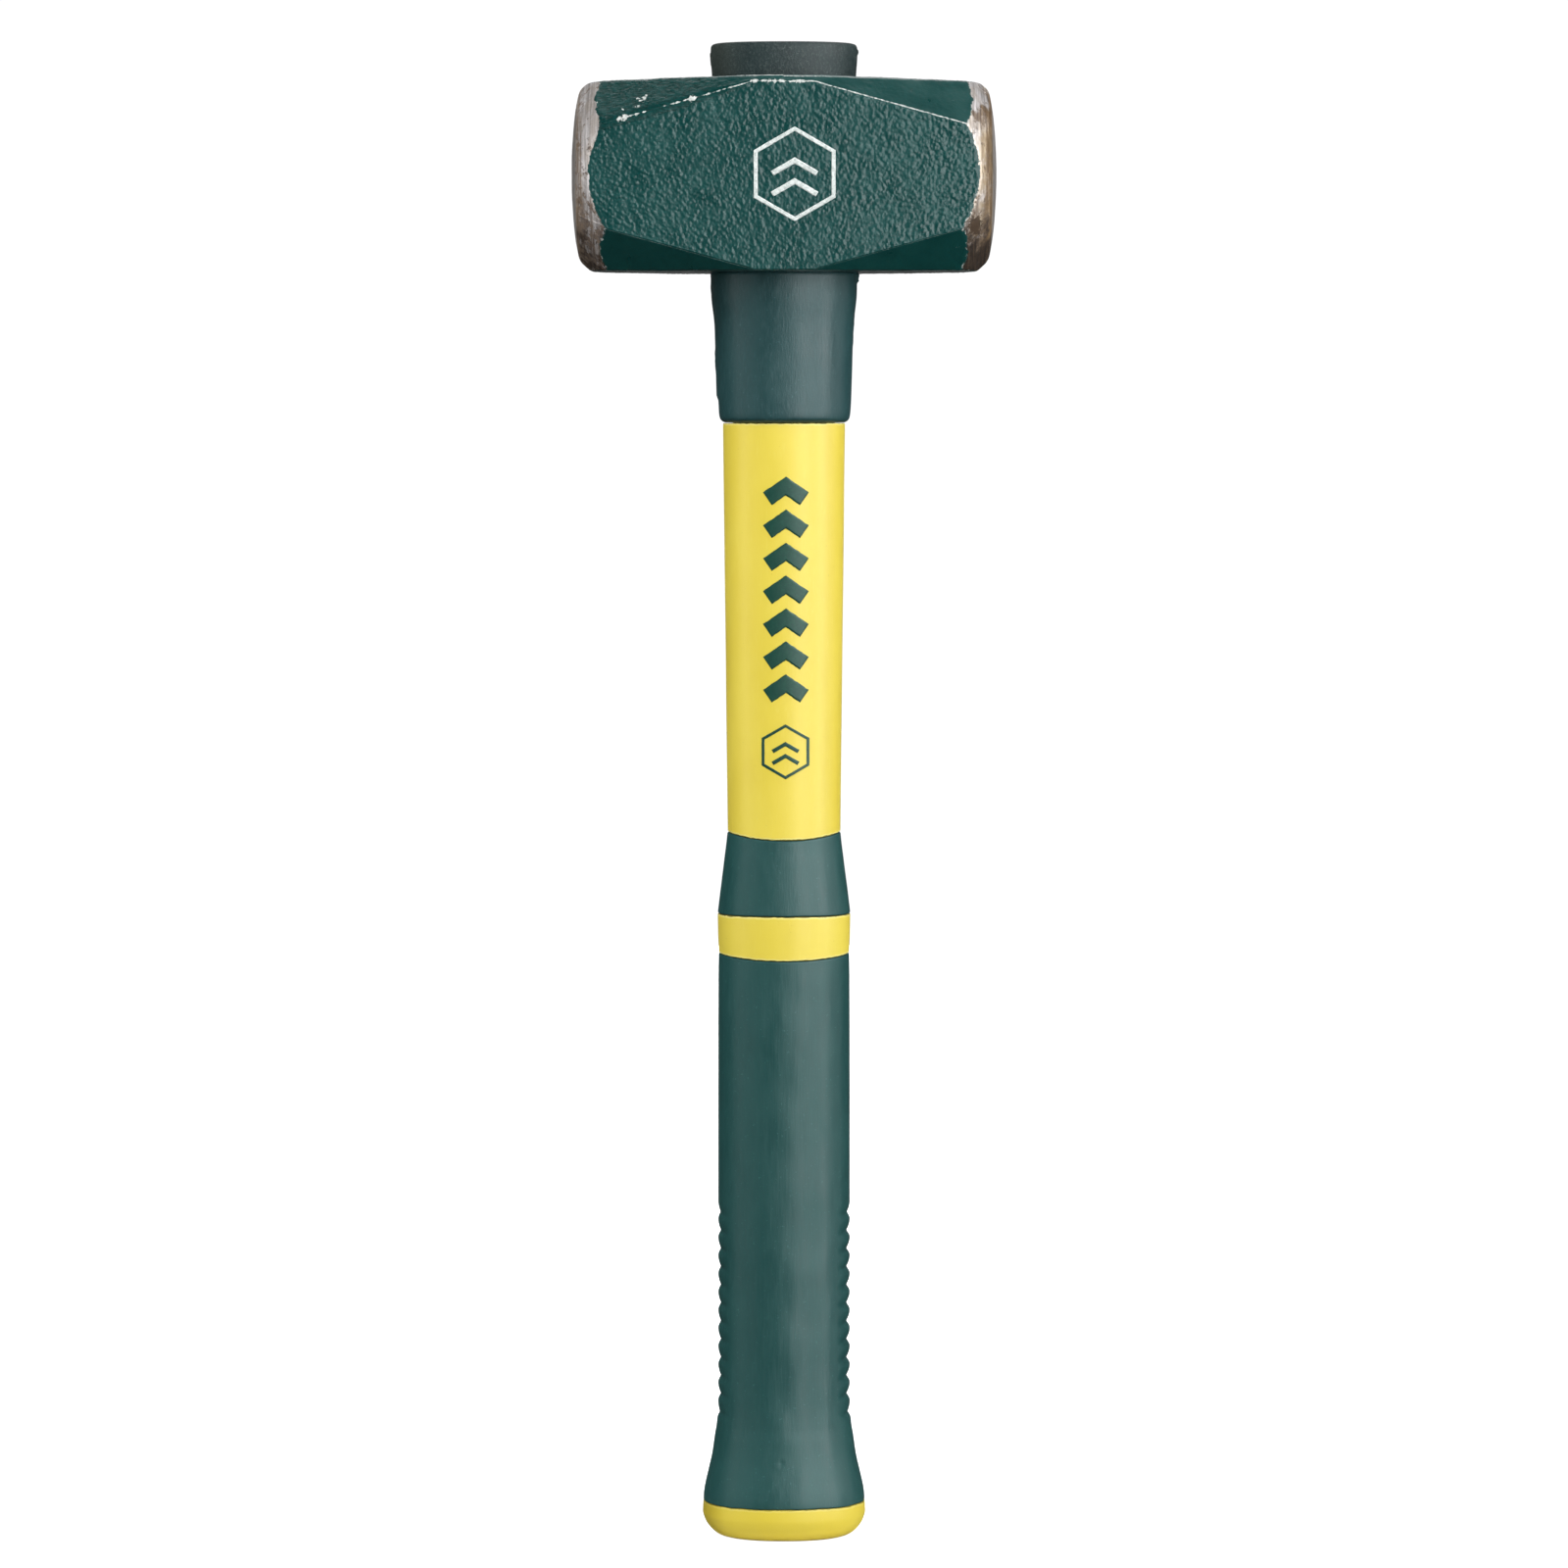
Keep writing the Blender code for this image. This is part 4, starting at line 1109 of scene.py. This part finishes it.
# ---- stage -----------------------------------------------------------------------------
def stage_look():
    """Plain white sweep. It stays white for the camera, and sends little light back up."""
    material = bpy.data.materials.new("pale_sweep")
    material.use_nodes = True
    tree = material.node_tree
    tree.nodes.clear()
    out = tree.nodes.new("ShaderNodeOutputMaterial")
    path = tree.nodes.new("ShaderNodeLightPath")
    diffuse = tree.nodes.new("ShaderNodeBsdfDiffuse")
    diffuse.inputs["Color"].default_value = (0.55, 0.55, 0.55, 1.0)
    glow = tree.nodes.new("ShaderNodeEmission")
    dim = tree.nodes.new("ShaderNodeBsdfDiffuse")
    near = tree.nodes.new("ShaderNodeMapRange")
    for key, value in ((1, 0.02), (2, 0.10), (3, 0.72), (4, 0.06)):
        near.inputs[key].default_value = value
    spot = tree.nodes.new("ShaderNodeTexCoord")
    length = tree.nodes.new("ShaderNodeVectorMath")
    length.operation = "LENGTH"
    tree.links.new(spot.outputs["Object"], length.inputs[0])
    away = tree.nodes.new("ShaderNodeMapRange")
    for key, value in ((1, 0.02), (2, 0.30), (3, 0.86), (4, 1.02)):
        away.inputs[key].default_value = value
    tree.links.new(length.outputs["Value"], away.inputs[0])
    tree.links.new(length.outputs["Value"], near.inputs[0])
    tree.links.new(near.outputs[0], dim.inputs["Color"])
    tree.links.new(away.outputs[0], glow.inputs["Strength"])
    add = tree.nodes.new("ShaderNodeAddShader")
    choose = tree.nodes.new("ShaderNodeMixShader")
    tree.links.new(diffuse.outputs[0], add.inputs[0])
    tree.links.new(glow.outputs[0], add.inputs[1])
    tree.links.new(path.outputs["Is Camera Ray"], choose.inputs[0])
    tree.links.new(dim.outputs[0], choose.inputs[1])
    tree.links.new(add.outputs[0], choose.inputs[2])
    # from underneath the floor is clear, so that the butt can be looked at
    clear = tree.nodes.new("ShaderNodeBsdfTransparent")
    back = tree.nodes.new("ShaderNodeNewGeometry")
    last = tree.nodes.new("ShaderNodeMixShader")
    tree.links.new(back.outputs["Backfacing"], last.inputs[0])
    tree.links.new(choose.outputs[0], last.inputs[1])
    tree.links.new(clear.outputs[0], last.inputs[2])
    tree.links.new(last.outputs[0], out.inputs["Surface"])
    return material


def build_floor():
    bm = bmesh.new()
    rows = []
    for r in (0.0, 0.25, 0.5, 1.0, 2.0, 4.0):
        if r == 0.0:
            rows.append([bm.verts.new((0, 0, 0))])
        else:
            rows.append([bm.verts.new((r * math.cos(k * math.pi / 32), r * math.sin(k * math.pi / 32), 0)) for k in range(64)])
    for k in range(64):
        bm.faces.new((rows[0][0], rows[1][k], rows[1][(k + 1) % 64]))
        for low, high in zip(rows[1:], rows[2:]):
            bm.faces.new((low[k], high[k], high[(k + 1) % 64], low[(k + 1) % 64]))
    bmesh.ops.recalc_face_normals(bm, faces=bm.faces[:])
    if bm.faces[:][0].normal.z < 0:
        bmesh.ops.reverse_faces(bm, faces=bm.faces[:])
    mesh = bpy.data.meshes.new("floor")
    bm.to_mesh(mesh)
    bm.free()
    mesh.materials.append(stage_look())
    floor = bpy.data.objects.new("floor", mesh)
    scene.collection.objects.link(floor)
    floor.visible_glossy = False


build_floor()

# ---- light -----------------------------------------------------------------------------
world = bpy.data.worlds.new("studio")
scene.world = world
world.use_nodes = True
nodes, links = world.node_tree.nodes, world.node_tree.links
nodes.clear()
w_out = nodes.new("ShaderNodeOutputWorld")
w_path = nodes.new("ShaderNodeLightPath")
w_white = nodes.new("ShaderNodeBackground")
w_white.inputs["Color"].default_value = (1, 1, 1, 1)
w_white.inputs["Strength"].default_value = 1.05
w_dim = nodes.new("ShaderNodeBackground")
w_dim.inputs["Color"].default_value = (1, 1, 1, 1)
w_dim.inputs["Strength"].default_value = 0.05
w_mix = nodes.new("ShaderNodeMixShader")
links.new(w_path.outputs["Is Camera Ray"], w_mix.inputs[0])
links.new(w_dim.outputs[0], w_mix.inputs[1])
links.new(w_white.outputs[0], w_mix.inputs[2])
links.new(w_mix.outputs[0], w_out.inputs["Surface"])


def softbox(name, azimuth, elevation, distance, wide, tall, power, aim=0.22):
    """A soft light at an angle right of the camera's side, and above."""
    data = bpy.data.lights.new(name, "AREA")
    data.shape = "RECTANGLE"
    data.size, data.size_y = wide, tall
    data.energy = power
    light = bpy.data.objects.new(name, data)
    scene.collection.objects.link(light)
    az, el = math.radians(azimuth), math.radians(elevation)
    way = (math.sin(az) * math.cos(el), -math.cos(az) * math.cos(el), math.sin(el))
    light.location = (way[0] * distance, way[1] * distance, aim + way[2] * distance)
    light.rotation_euler = (math.radians(90.0) - el, 0.0, az)
    return light


# some lights only fill, and some are only seen in the gloss, as flags and reflector cards do
FILL, GLOSS = "fill", "gloss"
LIGHTS = (
    ("fill_left", FILL, -65.0, 8.0, 1.4, 0.5, 1.5, 10.8),
    ("fill_front", FILL, 28.0, 8.0, 1.4, 0.5, 1.5, 14.9),
    ("fill_right", FILL, 70.0, 8.0, 1.4, 0.5, 1.5, 18.0),
    ("fill_high", FILL, -60.0, 45.0, 1.4, 0.8, 0.6, 10.0),
    ("card_near", GLOSS, 18.0, 8.0, 1.4, 0.34, 1.5, 9.4),
    ("card_mid", GLOSS, 33.0, 8.0, 1.4, 0.30, 1.5, 4.0),
    ("card_key", GLOSS, 56.0, 8.0, 1.4, 0.32, 1.5, 10.8),
    ("card_right", GLOSS, 95.0, 8.0, 1.4, 0.30, 1.5, 2.2),
    ("card_left", GLOSS, -42.0, 8.0, 1.4, 0.30, 1.5, 1.6),
    ("card_far_left", GLOSS, -68.0, 8.0, 1.4, 0.30, 1.5, 2.2),
    ("card_high", GLOSS, 60.0, 45.0, 1.4, 0.8, 0.6, 10.0),
    ("card_top", GLOSS, 180.0, 60.0, 1.3, 0.8, 0.6, 5.4),
    ("back_fill", FILL, 180.0, 12.0, 1.7, 1.6, 1.4, 27.0),
    ("back_card", GLOSS, 180.0, 20.0, 1.7, 0.4, 1.4, 1.2),
)
for name, kind, *where in LIGHTS:
    light = softbox(name, *where)
    light.visible_glossy = kind == GLOSS
    light.visible_diffuse = kind == FILL

scene.view_settings.view_transform = "Standard"
scene.view_settings.look = "None"
scene.view_settings.exposure = 0.0
scene.view_settings.gamma = 1.0
